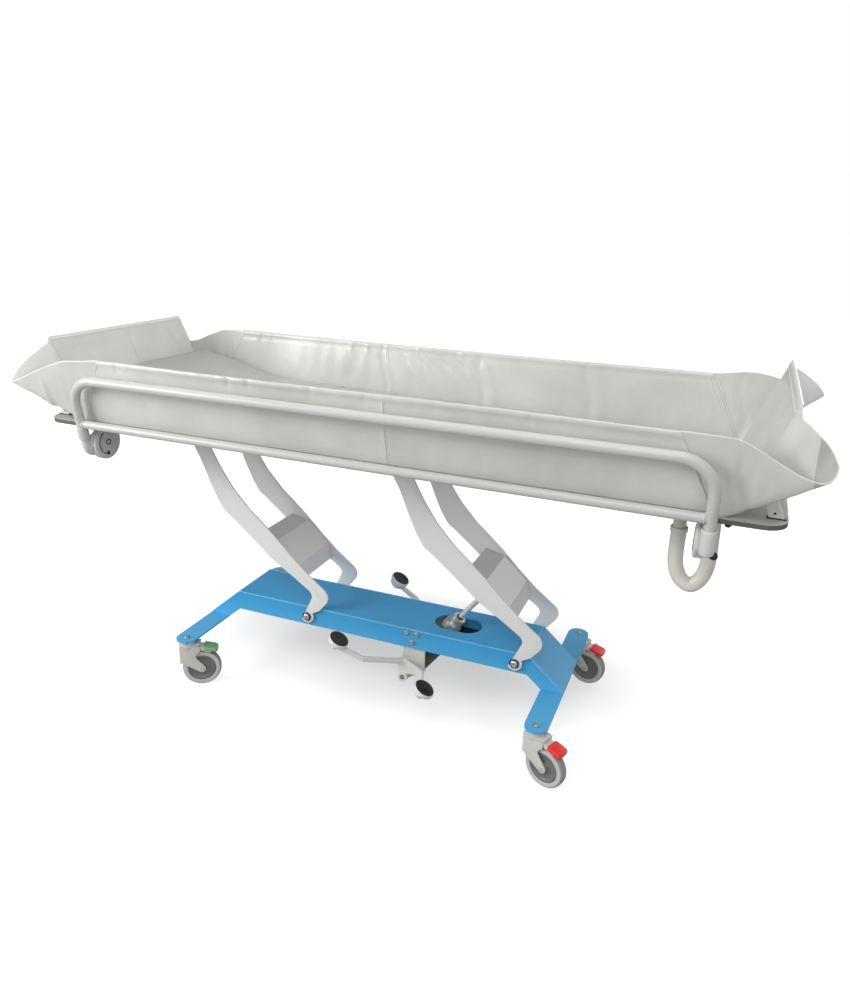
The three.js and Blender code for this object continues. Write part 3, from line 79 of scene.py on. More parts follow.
class Wire:
    """One output of a shader node. Arithmetic on it adds Math nodes."""

    def __init__(self, finish, socket):
        self.finish, self.socket = finish, socket

    def __add__(self, other):
        return self.finish.sum_of("ADD", self, other)

    def __sub__(self, other):
        return self.finish.sum_of("SUBTRACT", self, other)

    def __rsub__(self, other):
        return self.finish.sum_of("SUBTRACT", other, self)

    def __mul__(self, other):
        return self.finish.sum_of("MULTIPLY", self, other)

    __radd__, __rmul__ = __add__, __mul__


class Finish:
    """The finish of a surface: a Principled shader and the nodes that vary it."""

    def __init__(self, name, **constants):
        self.material = bpy.data.materials.new(name)
        self.material.use_nodes = True
        self.tree = self.material.node_tree
        for key, value in constants.items():
            self.set(key.replace("_", " ").title().replace("Ior", "IOR"), value)

    def set(self, socket, value):
        self.feed(self.tree.nodes["Principled BSDF"].inputs[socket], value)

    def feed(self, socket, value):
        if isinstance(value, Wire):
            self.tree.links.new(value.socket, socket)
        else:
            socket.default_value = colour(value) if isinstance(value, str) else value

    def node(self, kind, settings, inputs, output=0):
        made = self.tree.nodes.new("ShaderNode" + kind)
        for key, value in settings.items():
            setattr(made, key, value)
        for key, value in inputs.items():
            self.feed(made.inputs[key], value)
        return Wire(self, made.outputs[output])

    def sum_of(self, operation, first, second):
        return self.node("Math", {"operation": operation}, {0: first, 1: second})

    def blend_colours(self, factor, first, second):
        return self.node("Mix", {"data_type": "RGBA"}, {0: factor, 6: first, 7: second}, 2)

    def place(self, stretch=(1, 1, 1)):
        coordinates = self.node("TexCoord", {}, {}, 3)
        return self.node("Mapping", {}, {"Vector": coordinates, "Scale": stretch})

    def axis(self, letter):
        return self.node("SeparateXYZ", {}, {0: self.place()}, "XYZ".index(letter))

    def noise(self, scale, detail, roughness=0.5, stretch=(1, 1, 1)):
        return self.node("TexNoise", {}, {"Vector": self.place(stretch), "Scale": scale,
                                          "Detail": detail, "Roughness": roughness})

    def ramp(self, value, low, high):
        return self.node("MapRange", {"clamp": True}, {
            "Value": value, "From Min": low, "From Max": high, "To Min": 0, "To Max": 1})

    def clouds(self, spots, low, high, dark, light):
        """Two tones, mixed by a noise that spots gives the scale and detail of."""
        return self.blend_colours(self.ramp(self.noise(*spots), low, high), dark, light)

    def bump(self, height, distance, strength=1):
        return self.node("Bump", {}, {"Height": height, "Distance": distance, "Strength": strength})

    def wear(self, smooth, spread, patches, grain, depth):
        """Gloss that varies in patches, and a fine grain."""
        self.set("Roughness", smooth + spread * self.noise(*patches))
        self.set("Normal", self.bump(self.noise(*grain), depth))


def colour(code, share=1):
    """The linear colour of a hex code, or a share of it."""
    parts = [int(code[i:i + 2], 16) / 255 for i in (0, 2, 4)]
    return *(share * (c / 12.92 if c <= 0.04045 else ((c + 0.055) / 1.055) ** 2.4)
             for c in parts), 1


def moulded_plastic(name, code, roughness=0.42, mottle=0.06):
    """Injection-moulded plastic: a faint grain, slightly uneven gloss and a soft tone."""
    finish = Finish(name, coat_weight=0.12)
    finish.set("Base Color", finish.clouds((9, 4), 0.3, 0.75, colour(code, 1 - 2 * mottle), code))
    finish.wear(roughness - 0.06, 0.12, (35, 3), (900, 2), 0.00003)
    return finish


def spline(a, b, c, d, t):
    """Catmull-Rom: a share t of the way from b to c."""
    return 0.5 * (2 * b + (c - a) * t + (2 * a - 5 * b + 4 * c - d) * t * t
                  + (3 * b - a - 3 * c + d) * t ** 3)


def smooth_line(points, per_span):
    """A smooth curve through points."""
    points = [Vector(p) for p in points]
    ends = [2 * points[0] - points[1], *points, 2 * points[-1] - points[-2]]
    return [spline(*ends[i:i + 4], step / per_span)
            for i in range(len(points) - 1) for step in range(per_span)] + points[-1:]


def mm(*points):
    """Points that are given in millimetres."""
    return [tuple(value / 1000 for value in point) for point in points]


stub_x, stub_y, collar_foot = 0.826, -0.2, 0.779
hose_radius = 0.019
# the route of the hose below the collar, along X and Z
hose_route = mm(
    (0, 0), (0, -38), (1, -72), (7, -102), (21, -127), (44, -139), (62, -126), (74, -102),
    (79, -72), (79, -38), (78, 0), (77, 37), (77, 73))
hose_points = smooth_line(
    [(stub_x + x, stub_y, collar_foot - 0.0003 + z) for x, z in hose_route], 5)

cream_hose = moulded_plastic("cream hose", "E9E6DD", roughness=0.34, mottle=0.03)
hose_curve = bpy.data.curves.new("drain_hose_line", "CURVE")
hose_curve.dimensions = "3D"
hose_spline = hose_curve.splines.new("POLY")
hose_spline.points.add(len(hose_points) - 1)
for point, place in zip(hose_spline.points, hose_points):
    point.co = (*place, 1)
hose_curve.bevel_depth = hose_radius
hose_curve.bevel_resolution = 8
hose_curve.use_fill_caps = True
hose_curve.materials.append(cream_hose.material)
hose = added("hose", hose_curve)
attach(hose, "platform")
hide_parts("drain_hose")
hose_length = sum((b - a).length for a, b in zip(hose_points, hose_points[1:]))


# --- Drain stub and hose holder ---
# The stub is a cream PVC fitting, flanged in the tray and collared below the bed, where the hose
# is glued on. The holder is a white moulded cup screwed under the bed board.

def soft_edge(profile, radius, steps=3):
    """Rounds the corners of a profile. A closed one repeats its first point."""
    closed = profile[0] == profile[-1]
    points = [Vector(p) for p in (profile[:-1] if closed else profile)]
    rounded_off = []
    for i, point in enumerate(points):
        if not closed and i in (0, len(points) - 1):
            rounded_off.append(tuple(point))
            continue
        sides = [other - point for other in (points[i - 1], points[(i + 1) % len(points)])]
        reach = min(radius, *(side.length * 0.45 for side in sides))
        a, b = (point + side.normalized() * reach for side in sides)
        for t in (step / steps for step in range(steps + 1)):
            rounded_off.append(tuple((1 - t) ** 2 * a + 2 * t * (1 - t) * point + t * t * b))
    return rounded_off + rounded_off[:1] if closed else rounded_off


def mesh_of(work, place=Matrix()):
    """A finished mesh from a bmesh, moved to its place, its faces turned outward."""
    bmesh.ops.transform(work, matrix=place, verts=work.verts)
    bmesh.ops.recalc_face_normals(work, faces=work.faces)
    mesh = bpy.data.meshes.new("mesh")
    work.to_mesh(mesh)
    work.free()
    return mesh


def circle(sides):
    angles = [2 * math.pi * k / sides for k in range(sides)]
    return [(math.cos(a), math.sin(a)) for a in angles]


def skin(work, rings, closed=False):
    """Faces between rings of vertices. A ring of one vertex is a tip."""
    for low, high in zip(rings, rings[1:] + rings[:1] if closed else rings[1:]):
        for k in range(max(len(low), len(high))):
            corners = dict.fromkeys((low[k % len(low)], low[(k + 1) % len(low)],
                                     high[(k + 1) % len(high)], high[k % len(high)]))
            if len(corners) > 2:
                work.faces.new(list(corners))


def lathe(profile, sides=48, place=Matrix()):
    """A turned shape about Z from (radius, z) pairs. A closed profile repeats its first pair;
    otherwise both ends lie on the axis or inside another piece."""
    work = bmesh.new()
    closed = profile[0] == profile[-1]
    rings = [[work.verts.new((radius * c, radius * s, z))
              for c, s in circle(sides if radius > 1e-6 else 1)]
             for radius, z in (profile[:-1] if closed else profile)]
    skin(work, rings, closed)
    return mesh_of(work, place)


def turned(profile, edge, sides=48, place=Matrix(), steps=3):
    """A turned shape with rounded corners."""
    return lathe(soft_edge(profile, edge, steps), sides, place)


def put(name, mesh, finish, body, node=None, sharp=40, place=Matrix()):
    """Adds a mesh as a named piece that rides on a body, smooth apart from its sharp edges. It may
    stand for a CAD node."""
    mesh.name = name
    thing = added(name, mesh)
    thing.matrix_world = place
    mesh.materials.append(finish.material)
    mesh.shade_smooth()
    mesh.set_sharp_from_angle(angle=math.radians(sharp))
    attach(thing, body)
    if node:
        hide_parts(node)
    return thing


put("stub", turned(mm(
    (13, 779), (21.5, 779), (21.5, 791.5), (16.2, 792.5), (16, 880.3), (34, 880.3), (34, 883.6),
    (13, 882.6), (13, 779)), 0.0015,
    place=shift(stub_x, stub_y)), cream_hose, "platform", "drain_stub")

white_moulding = moulded_plastic("white moulding", "E4E4E1", roughness=0.38, mottle=0.03)
put("holder", lathe(soft_edge(mm((19.3, 840), (23.3, 840), (23.3, 866.7), (0, 866.7)), 0.0012)
    + soft_edge(mm((0, 852), (19.3, 852), (19.3, 840)), 0.001),
    place=shift(stub_x + 0.077, stub_y)), white_moulding, "platform", "hose_holder")


# --- Base frame ---
# One sheet of 6 mm steel, cut, folded down along both sides and at both ends, and powder coated
# in a clear blue. The legs are parts of the same sheet, and the casters bolt through their ends.

def powder_coat(name, code, roughness, tone=0.05, coat=0.2, low=None):
    """Powder coat on steel: a fine orange peel, slightly uneven gloss, a little dust in the tone.
    A second, lighter colour is painted light on what lies low, near the wheels."""
    finish = Finish(name, coat_weight=coat, coat_roughness=0.25)
    dust_and_painted_low_light = finish.clouds((3.5, 5, 0.6), 0.35, 0.7, colour(code, 1 - 2 * tone), code)
    # low is painted light: a lighter colour for the legs, which stand clear of the platform's shade
    if low:
        dust_and_painted_low_light = finish.blend_colours(finish.ramp(finish.axis("Z"), 0.18, 0.262), low, dust_and_painted_low_light)
    finish.set("Base Color", dust_and_painted_low_light)
    finish.set("Roughness", roughness - 0.05 + 0.1 * finish.noise(14, 4))
    finish.set("Normal", finish.bump(finish.noise(420, 2) + 0.4 * finish.noise(1500, 1), 0.00006))
    return finish


def shape_of_node(node):
    """The shape of a CAD node in its place, each flat face in one piece."""
    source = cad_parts[node]
    work = bmesh.new()
    work.from_mesh(source.data)
    bmesh.ops.transform(work, matrix=source.matrix_world, verts=work.verts)
    bmesh.ops.remove_doubles(work, verts=work.verts, dist=0.00003)
    bmesh.ops.dissolve_limit(work, angle_limit=math.radians(1.5), verts=work.verts,
                             edges=work.edges)
    return work


def joined(meshes, place=Matrix()):
    """One mesh from several, moved to its place."""
    work = bmesh.new()
    for mesh in meshes:
        work.from_mesh(mesh)
        bpy.data.meshes.remove(mesh)
    return mesh_of(work, place)


def capped(work, rings):
    """A mesh of rings of vertices, closed at both ends."""
    skin(work, rings)
    work.faces.new(rings[0][::-1])
    work.faces.new(rings[-1])
    return mesh_of(work)


def pipe(points, radius, sides=32):
    """A round bar along a line."""
    work = bmesh.new()
    rings = []
    points = [Vector(p) for p in points]
    side = (points[1] - points[0]).orthogonal()
    for i, here in enumerate(points):
        along = (points[min(i + 1, len(points) - 1)] - points[max(i - 1, 0)]).normalized()
        side = (side - along * side.dot(along)).normalized()
        up = along.cross(side)
        rings.append([work.verts.new(here + radius * (c * side + s * up))
                      for c, s in circle(sides)])
    return capped(work, rings)


# the lighter low blue paints light on the legs
blue_coat = powder_coat("blue coat", "3AA2DB", roughness=0.42, coat=0.12, low="52B2E6")
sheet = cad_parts["base_frame"]
sheet.data.materials.clear()
sheet.data.materials.append(blue_coat.material)
sheet.modifiers.new("weld", "WELD").merge_threshold = 0.00002
round_off = sheet.modifiers.new("edge", "BEVEL")
round_off.width, round_off.segments = 0.0028, 3
round_off.limit_method, round_off.angle_limit = "ANGLE", math.radians(35)

# painted highlight: a thin pale blue line along every outer fold of the sheet that faces up
fold_highlight = powder_coat("fold highlight", "74C2EC", roughness=0.4, coat=0.12)
least_fold, least_face, least_rise = math.radians(12), 0.012, 0.3
bent_sheet = shape_of_node("base_frame")
folds = []
for edge in bent_sheet.edges:
    if len(edge.link_faces) != 2 or not edge.is_convex or edge.calc_face_angle() < least_fold:
        continue
    one, other = edge.link_faces
    if (min(one.calc_area(), other.calc_area()) < least_face
            or max(one.normal.z, other.normal.z) < least_rise):
        continue
    inward = -(one.normal + other.normal).normalized() * 0.001
    folds.append(pipe([v.co + inward for v in edge.verts], 0.0021, 10))
bent_sheet.free()
put("base_fold_highlights", joined(folds), fold_highlight, "base")


# --- Casters ---
# Hospital casters: a cream nylon fork on a king pin, a grey disc with a soft grey tyre, and a
# coloured pedal that locks the wheel. They are modelled with the trail along +X.

def rounded(points, radius, steps=4):
    """An outline with its corners rounded."""
    return soft_edge([*points, points[0]], radius, steps)[:-1]


def oblong(left, right, low, high):
    """A rectangle, which is also the profile of a turned disc where left is 0."""
    return [(left, low), (right, low), (right, high), (left, high)]


def ease(work, angle, width, clamp=False):
    """Rounds the edges of a bmesh that are sharper than an angle."""
    sharp = [e for e in work.edges
             if len(e.link_faces) == 2 and e.calc_face_angle() > math.radians(angle)]
    bmesh.ops.bevel(work, geom=sharp, offset=width, segments=3, profile=0.5, affect="EDGES",
                    clamp_overlap=clamp)


def plate(outline, low, high, edge, axis="Y"):
    """An outline in the plane across an axis, cut from low to high, with eased edges."""
    order = {"X": (2, 0, 1), "Y": (0, 2, 1), "Z": (0, 1, 2)}[axis]

    def at(*corner):
        return Vector([corner[k] for k in order])

    part = bmesh.new()
    face = part.faces.new([part.verts.new(at(a, b, low)) for a, b in outline])
    made = bmesh.ops.extrude_face_region(part, geom=[face])["geom"]
    bmesh.ops.translate(part, vec=at(0, 0, high) - at(0, 0, low),
                        verts=[v for v in made if isinstance(v, bmesh.types.BMVert)])
    bmesh.ops.recalc_face_normals(part, faces=part.faces)
    if edge:
        ease(part, 50, edge)
    return mesh_of(part)


def pair(outline, inner, outer, edge):
    """Two like plates, one on each side of the middle."""
    return plate(outline, -outer, -inner, edge), plate(outline, inner, outer, edge)


def arc(x, y, radius, start, stop, steps=10):
    angles = [math.radians(start + (stop - start) * i / steps) for i in range(steps + 1)]
    return [(x + radius * math.cos(a), y + radius * math.sin(a)) for a in angles]


def upright(x, y, z):
    """Places a turned shape so that its axis lies along Y."""
    return shift(x, y, z) @ turn(-90, "X")


def galvanised(name, code, roughness=0.32, metallic=0.9):
    """Zinc-plated or turned steel with fine streaks and a slightly clouded gloss."""
    finish = Finish(name, metallic=metallic)
    finish.set("Base Color", finish.clouds((45, 4), 0.3, 0.75, colour(code, 0.8), code))
    finish.wear(roughness - 0.08, 0.16, (120, 3), (1800, 2), 0.00001)
    return finish


fork_nylon = moulded_plastic("fork nylon", "DDDBD3", roughness=0.4, mottle=0.05)
disc_plastic = moulded_plastic("disc plastic", "7E7E7C", roughness=0.4)
pedal_red = moulded_plastic("pedal red", "FC3A31", roughness=0.36, mottle=0.05)
pedal_green = moulded_plastic("pedal green", "8CBE88", roughness=0.36, mottle=0.05)
axle_grey = moulded_plastic("axle cap", "C4C3C0", roughness=0.4, mottle=0.03)
bolt_zinc = galvanised("bolt zinc", "C4CBC0")

# grey tyre rubber: pale smooth side walls, and a darker tread with fine scuffs round it
tyre_rubber = Finish("tyre rubber")
across = tyre_rubber.axis("Z")
beside = tyre_rubber.ramp(across * across, 0.0128 ** 2, 0.0146 ** 2)
scuff = tyre_rubber.ramp(tyre_rubber.noise(60, 5, stretch=(1, 0.25, 1)), 0.35, 0.75)
tread = tyre_rubber.blend_colours(scuff, "A3A3A0", colour("A3A3A0", 0.82))
tyre_rubber.set("Base Color", tyre_rubber.blend_colours(beside, tread, "CCCBC8"))
tyre_rubber.set("Roughness", 0.62 - 0.14 * beside + 0.12 * tyre_rubber.noise(80, 3))
tyre_rubber.set("Normal", tyre_rubber.bump(tyre_rubber.noise(260, 4), 0.00012))

bolt_x, bolt_y, trail, axle_z = 0.588, 0.286, 0.042, 0.0625
base_middle = -0.057
pedal_tilt = turn(15, "Y")

leg = [*mm((-25, 148.5), (-26, 104), (-22.5, 91), (-12, 83)),
       *arc(trail, axle_z, 0.0125, 222, 398, 14),
       *mm((24, 107), (28.5, 119), (40, 125.5), (40, 148.5))]
# the hood between the legs follows the tyre, and a flat cover over it is as wide as the legs
hood = [
    *mm((-26.2, 148.5), (-26.2, 90), (-22.5, 88.5)), *arc(trail, axle_z, 0.0652, 152, 100, 10),
    *mm((22.5, 128.5), (22.5, 148.5))]
cover = mm((-26.2, 148), (40, 148), (43, 150), (30, 153.5), (-26.2, 153.5))
fork = joined([
    *pair(rounded(leg, 0.006), 0.018, 0.0232, 0.0016),
    plate(hood, -0.0225, 0.0225, 0.0012),
    plate(rounded(cover, 0.0015), -0.0236, 0.0236, 0.0016),
    turned(mm(
        (0, 140), (25.5, 140), (26.2, 150), (24.8, 160.5), (22.5, 167.8), (0, 167.8)), 0.0025)])
# washer, dome and the hexagon socket in its top
king_bolt = joined([
    turned(oblong(0, 0.0114, 0.174, 0.1756), 0.0004),
    turned(mm(
        (0, 175.5), (9, 175.5), (8.8, 177.5), (6.2, 179.5), (4.2, 179.8), (4, 177.5),
        (0, 177.5)), 0.0005, 24)])
# the coloured cap, ribbed on top, and the moulded arm under it: barrel, neck and cheeks
tread_plan = mm(
    (19.5, -21.5), (54, -23.5), (64, -19), (66.5, 0), (64, 19), (54, 23.5), (19.5, 21.5))
pedal = joined([
    plate(rounded(tread_plan, 0.005), -0.004, 0.008, 0.0024, "Z"),
    *(plate(rounded(oblong(x, x + 0.003, -0.0165, 0.0165), 0.0012, 2), 0.0072, 0.0087, 0.0005, "Z")
      for x in (0.03, 0.0378, 0.0456, 0.0534))], pedal_tilt)
cheek = mm((-6, -4), (4, -7.5), (30, -10.5), (42, -11.5), (45, -6), (43, -3), (0, 4))
pedal_arm = joined([
    turned(oblong(0, 0.0066, -0.0178, 0.0178), 0.001, 24, upright(0, 0, 0)),
    joined([plate(rounded(oblong(0, 0.026, -0.0165, 0.0165), 0.003), -0.0038, 0.0038, 0.001, "Z"),
            *pair(rounded(cheek, 0.002), 0.0161, 0.0177, 0.0006)], pedal_tilt)])


def wheel_part(half, edge, sides):
    """A ring with two like faces, from the inner edge of one face to its outer edge."""
    profile = half + [(r, -y) for r, y in reversed(half)]
    return turned([*profile, profile[0]], edge, sides)


disc = wheel_part(mm(
    (5.3, 17), (11.8, 17), (12.5, 12), (15, 8.2), (33, 9.2), (37.5, 11.2), (39.5, 12.8),
    (44, 12.8), (44.4, 10)), 0.0012, 64)
tyre = wheel_part(mm(
    (44.8, 12.8), (46.2, 14.6), (54.5, 15.3), (58.5, 14.2), (61.4, 10.5), (62.4, 5)), 0.0022, 72)
axle_cap = turned(mm((0, 22.8), (7.8, 22.8), (7.8, 24.6), (0, 25)), 0.0008, 24)

for corner, end, side, degrees, cap_finish, cap_slot in (
    ("head_near", 1, -1, -21, pedal_red, "red_plastic"),
    ("foot_near", -1, -1, 34, pedal_green, "green_plastic"),
    ("head_far", 1, 1, -11, pedal_red, "red_plastic"),
    ("foot_far", -1, 1, 20, pedal_green, "green_plastic"),
):
    bolt = shift(base_middle + end * bolt_x, side * bolt_y) @ turn(degrees, "Z")
    wheel = bolt @ upright(trail, 0, axle_z)
    pivot = bolt @ shift(0.033, 0, 0.141)
    for part, mesh, finish, place, body, slot, node in (
        ("fork", fork, fork_nylon, bolt, "fork", "fork_paint", "fork"),
        ("king_bolt", king_bolt, bolt_zinc, bolt, "fork", "steel", None),
        ("disc", disc, disc_plastic, wheel, "wheel", "grey_plastic", "wheel_hub"),
        ("tyre", tyre, tyre_rubber, wheel, "wheel", "tread_rubber", "tyre"),
        ("axle_cap_near", axle_cap, axle_grey, wheel @ turn(180, "X"), "fork", "grey_plastic",
         None),
        ("axle_cap_far", axle_cap, axle_grey, wheel, "fork", "grey_plastic", None),
        ("pedal", pedal, cap_finish, pivot, "brake", cap_slot, "brake_pedal"),
        ("pedal_arm", pedal_arm, fork_nylon, pivot, "brake", "fork_paint", None),
    ):
        put(f"{corner}_caster_{part}_piece", mesh.copy(), finish, f"{corner}_{body}",
            node and f"{corner}_caster_{node}", place=place)


# --- Lifting arms ---
# Two white arms, each of two cut plates and a folded panel that ties them together. The plates
# have a drawn edge, and the powder coat is thick enough to round it.

def eased(node, finish, body, edge, sharp=38):
    """A CAD node's own shape with its sharp edges rounded, as a new piece that stands for it."""
    work = shape_of_node(node)
    ease(work, 34, edge, clamp=True)
    put(node + "_piece", mesh_of(work), finish, body, node, sharp)


white_coat = powder_coat("white coat", "EAE9E7", roughness=0.34, tone=0.025)
for arm in ("foot_arm", "head_arm"):
    for part, edge, sharp in (("near_plate", 0.0017, 38), ("far_plate", 0.0017, 38),
                              ("cross_panel", 0.0014, 9)):
        eased(f"{arm}_{part}", white_coat, arm, edge, sharp)

# the pivots: a steel shaft with a domed head at each end, over a black bearing ring
bright_steel = galvanised("bright steel", "D4D6D6", roughness=0.2, metallic=1.0)
bearing_black = moulded_plastic("bearing black", "232322", roughness=0.45, mottle=0.1)
shaft_half = mm(
    (9, 108.3), (11.8, 111.3), (12, 112.8), (11.2, 115.2), (8.5, 117.2), (5, 118.1), (4.6, 116.2),
    (0, 116))
shaft_profile = [(r, -y) for r, y in reversed(shaft_half)] + shaft_half
ring_profile = mm(
    (9.5, 108.3), (15, 108.3), (15.4, 111), (14.2, 112.2), (12.2, 111.6), (9.5, 111.6),
    (9.5, 108.3))
for pivot, x, z, body in (
    ("foot_arm_lower", -0.296, 0.243, "base"), ("foot_arm_upper", -0.706, 0.843, "platform"),
    ("head_arm_lower", 0.412, 0.243, "base"), ("head_arm_upper", 0.002, 0.843, "platform"),
):
    put(f"{pivot}_pivot", turned(shaft_profile, 0.0006, 48, upright(x, 0, z)), bright_steel,
        body, f"{pivot}_shaft")
    for label, side in (("near", -1), ("far", 1)):
        ring = [(r, side * y) for r, y in ring_profile]
        put(f"{pivot}_{label}_ring", turned(ring, 0.0006, 48, upright(x, 0, z)), bearing_black,
            body)


# --- Pump ---
# A cast pump block on the pedal shaft, the cylinder that stands on it and a polished rod, whose
# eye takes the pin between two lugs of the head-end arm.

pump_place = shift(0.055, 0, 0.112) @ turn(math.degrees(math.asin(0.6116)), "Y")
cast_zinc = galvanised("cast zinc", "6E7472", roughness=0.42, metallic=0.75)
cylinder_zinc = galvanised("cylinder zinc", "A7AFA9", roughness=0.36, metallic=0.55)
rod_chrome = galvanised("rod chrome", "E8E4DD", roughness=0.3, metallic=0.5)

# the block is cast round a bore, into which the rod sinks as the platform comes down
foot = [(x, z) for z, x in arc(0, 0, 0.02, 90, 270, 16)]
block_side = [*foot, *mm((-28, 16), (-28, 112), (40, 112), (40, 16))]
block_middle = [*foot, *mm((-27.5, 16), (-27.5, 111.5), (-9, 111.5), (-9, 36), (9, 36),
                           (9, 111.5), (39.5, 111.5), (39.5, 16))]
put("pump_block", joined([
    *pair(rounded(block_side, 0.006), 0.0092, 0.042, 0.002),
    plate(block_middle, -0.0092, 0.0092, 0),
    *(turned(oblong(0, 0.007, 0.11, 0.1165), 0.001, 24, shift(x, y))
      for x, y in ((-0.019, -0.026), (0.034, 0), (-0.019, 0.026)))],
    pump_place), cast_zinc, "cylinder")
put("cylinder", turned(mm(
    (8.8, 100), (25, 100), (25, 176), (29, 179), (29, 206), (21.5, 216.5), (22.2, 218.5),
    (22.2, 235.5), (11.5, 236), (11.5, 232), (8.8, 232), (8.8, 100)), 0.0014, 64, pump_place),
    cylinder_zinc, "cylinder", "pump_cylinder")
# painted shade: a dark blue-grey lining on the floor and far side inside the pump's slot in the
# base, where the slot lies deep in shadow
put("slot_shade_lining", joined([
    plate(rounded(oblong(0.112, 0.292, 0.052, 0.0915), 0.004), 0.2088, 0.2112, 0.0008, "Z"),
    plate(oblong(0.112, 0.292, 0.21, 0.215), 0.0892, 0.0917, 0.0006)]),
    moulded_plastic("slot shade", "2C3B4C"), "base")
put("rod_wiper", turned(mm((8.3, 233.5), (11.2, 233.5), (10.8, 238.5), (8.6, 239.2), (8.3, 233.5)),
    0.0006, 48, pump_place), bearing_black, "cylinder")
eye = oblong(0.0108, 0.0158, -0.007, 0.007)
put("piston", joined([
    turned(oblong(0, 0.008, 0.167, 0.402), 0.001),
    turned([*eye, eye[0]], 0.001, place=upright(0, 0, 0.412))], pump_place),
    rod_chrome, "rod", "piston_rod")
eased("rod_pin", bright_steel, "head_arm", 0.0006)


# --- Foot pump pedals ---
# A bracket bolted into the beam carries the pedal shaft. White rockers outside it end in cups
# that hold black rubber pads, two on each side of the trolley.

eased("pump_bracket", fork_nylon, "base", 0.0012)
screw_head = mm(
    (0, 101.1), (8.8, 101.1), (8.8, 102.2), (6.6, 102.4), (6, 104.4), (3.4, 105.2), (3, 103.6),
    (0, 103.6))
put("bracket_screws", joined(
    turned(screw_head, 0.0004, 32, shift(x, 0, z) @ turn(-90 * side, "X"))
    for side in (-1, 1) for x, z in ((0.056, 0.261), (0.091, 0.261), (0.075, 0.23))),
    bright_steel, "base")
eased("pedal_shaft", bright_steel, "foot_rocker", 0.0006)
pad_rubber = Finish("pad rubber")
pad_rubber.set("Base Color", pad_rubber.clouds((40, 5), 0.35, 0.8, "1F1F1D", "3B3B38"))
pad_rubber.wear(0.5, 0.18, (60, 3), (500, 4), 0.00012)

pad_profile = mm(
    (0, -14), (29.6, -14), (30.2, -4), (29, -1.2), (26.2, -0.2), (24.5, -1), (23.6, -2.4),
    (22.2, -2.2), (21.4, -3.4), (20, -3.2), (19, -4.4), (17.4, -4.2), (16.4, -5.4), (14.8, -5.2),
    (13.8, -6.2), (6, -6.8), (0, -6.9))
for label, side, depth in (("near", -1, 0.024), ("far", 1, 0.04)):
    eased(f"{label}_rocker", white_coat, "foot_rocker", 0.0016)
    cup_profile = [(0, -depth), (0.0175, -depth), (0.0265, -0.775 * depth),
                   (0.0312, -0.375 * depth), (0.0316, -0.003), (0.0306, -0.0016),
                   (0.0304, -0.0143), (0, -0.0143)]
    for end, x, z in (("rear", -0.107, 0.273), ("front", 0.178, 0.174)):
        place = shift(x, side * 0.238, z) @ turn(30, "Y")
        put(f"{label}_{end}_rubber", turned(pad_profile, 0.0006, 56, place, steps=2),
            pad_rubber, "foot_rocker", f"{label}_{end}_pad", sharp=60)
        put(f"{label}_{end}_cup", turned(cup_profile, 0.001, 48, place), white_coat,
            "foot_rocker")


# --- Bed board and underframe ---
# A grey laminate board with rounded corners, its edge coloured dark below the top face, on a frame
# of white box tube, and a hoop at each end against which the end flap of the tray rests.

board_face = Finish("board face", coat_weight=0.08)
# the board is coloured dark grey along its edge, below the lighter top face
board_face.set("Base Color", board_face.blend_colours(
    board_face.ramp(board_face.axis("Z"), 0.8782, 0.8796), "5F5E5A",
    board_face.clouds((5, 5), 0.3, 0.75, "A09E9A", "B2B0AB")))
board_face.wear(0.44, 0.12, (22, 4), (700, 3), 0.00005)
eased("bed_board", board_face, "platform", 0.0022)
eased("underframe", white_coat, "platform", 0.0026)

hoop_foot, hoop_rise, post_y = 0.8806, 0.104, 0.294
bar_z = 0.8803 + hoop_rise
for end, sign, bar_x in (("head", 1, 0.99), ("foot", -1, 0.9945)):
    post = [(sign * 1.0165, hoop_foot), (sign * 1.0515, hoop_foot),
            (sign * (bar_x + 0.01), bar_z + 0.0095), (sign * (bar_x - 0.009), bar_z + 0.0095)]
    put(f"{end}_hoop", joined([
        pipe([(sign * bar_x, -0.298, bar_z), (sign * bar_x, 0.298, bar_z)], 0.009, 28),
        *pair(rounded(post, 0.004), post_y - 0.007, post_y + 0.007, 0.0022)]),
        white_coat, "platform", f"{end}_stanchion")
    # a dark rubber foot under each upright, and two plugged screw holes down it
    dots = []
    for y in (-post_y, post_y):
        sole = rounded(oblong(sign * 1.0125, sign * 1.0555, y - 0.0095, y + 0.0095), 0.005)
        dots.append(plate(sole, 0.8803, 0.8828, 0.001, "Z"))
        for share in (0.12, 0.55):
            x = sign * (1.034 + (bar_x - 1.034) * share)
            spot = shift(x, y - 0.0072, hoop_foot + hoop_rise * share) @ turn(90, "X")
            dots.append(lathe(mm((0, 0.4), (2.6, 0.4), (3, 0), (0, -1)), 20, spot))
    put(f"{end}_hoop_plugs", joined(dots), bearing_black, "platform")

# black rubber buffers under the board's long edges, against which the lowered rails rest
buffer = mm((0, 855), (5.5, 855), (9, 861), (9.5, 866.8), (0, 866.8))
put("board_buffers", joined(turned(buffer, 0.0014, 28, shift(x, y))
                            for x in (-0.935, 0.935) for y in (-0.33, 0.33)),
    bearing_black, "platform")


# --- Side rails ---
# White tube rails that fold down about hinges under the board's edge. Each post sits in a socket
# on the moving disc, and a spring knob at the head end locks the disc.

post_x, rail_y, lower_z = 0.898, -0.058, 0.08
bend_x, bend_z, bend_radius = 0.814, 0.137, 0.084
hinge_y, hinge_z = 0.303, 0.8137
rail_lean = turn(9.8, "X")

tube_white = powder_coat("tube white", "C8C8C5", roughness=0.32, tone=0.02)
hinge_grey = moulded_plastic("hinge grey", "D4D4D1", mottle=0.04)
hinge_pale = moulded_plastic("hinge pale", "DCDCD9", roughness=0.36, mottle=0.03)
hinge_mark = moulded_plastic("hinge mark", "C2C2C0", roughness=0.45, mottle=0.04)
knob_black = moulded_plastic("knob black", "1B1B1A", roughness=0.28, mottle=0.1)

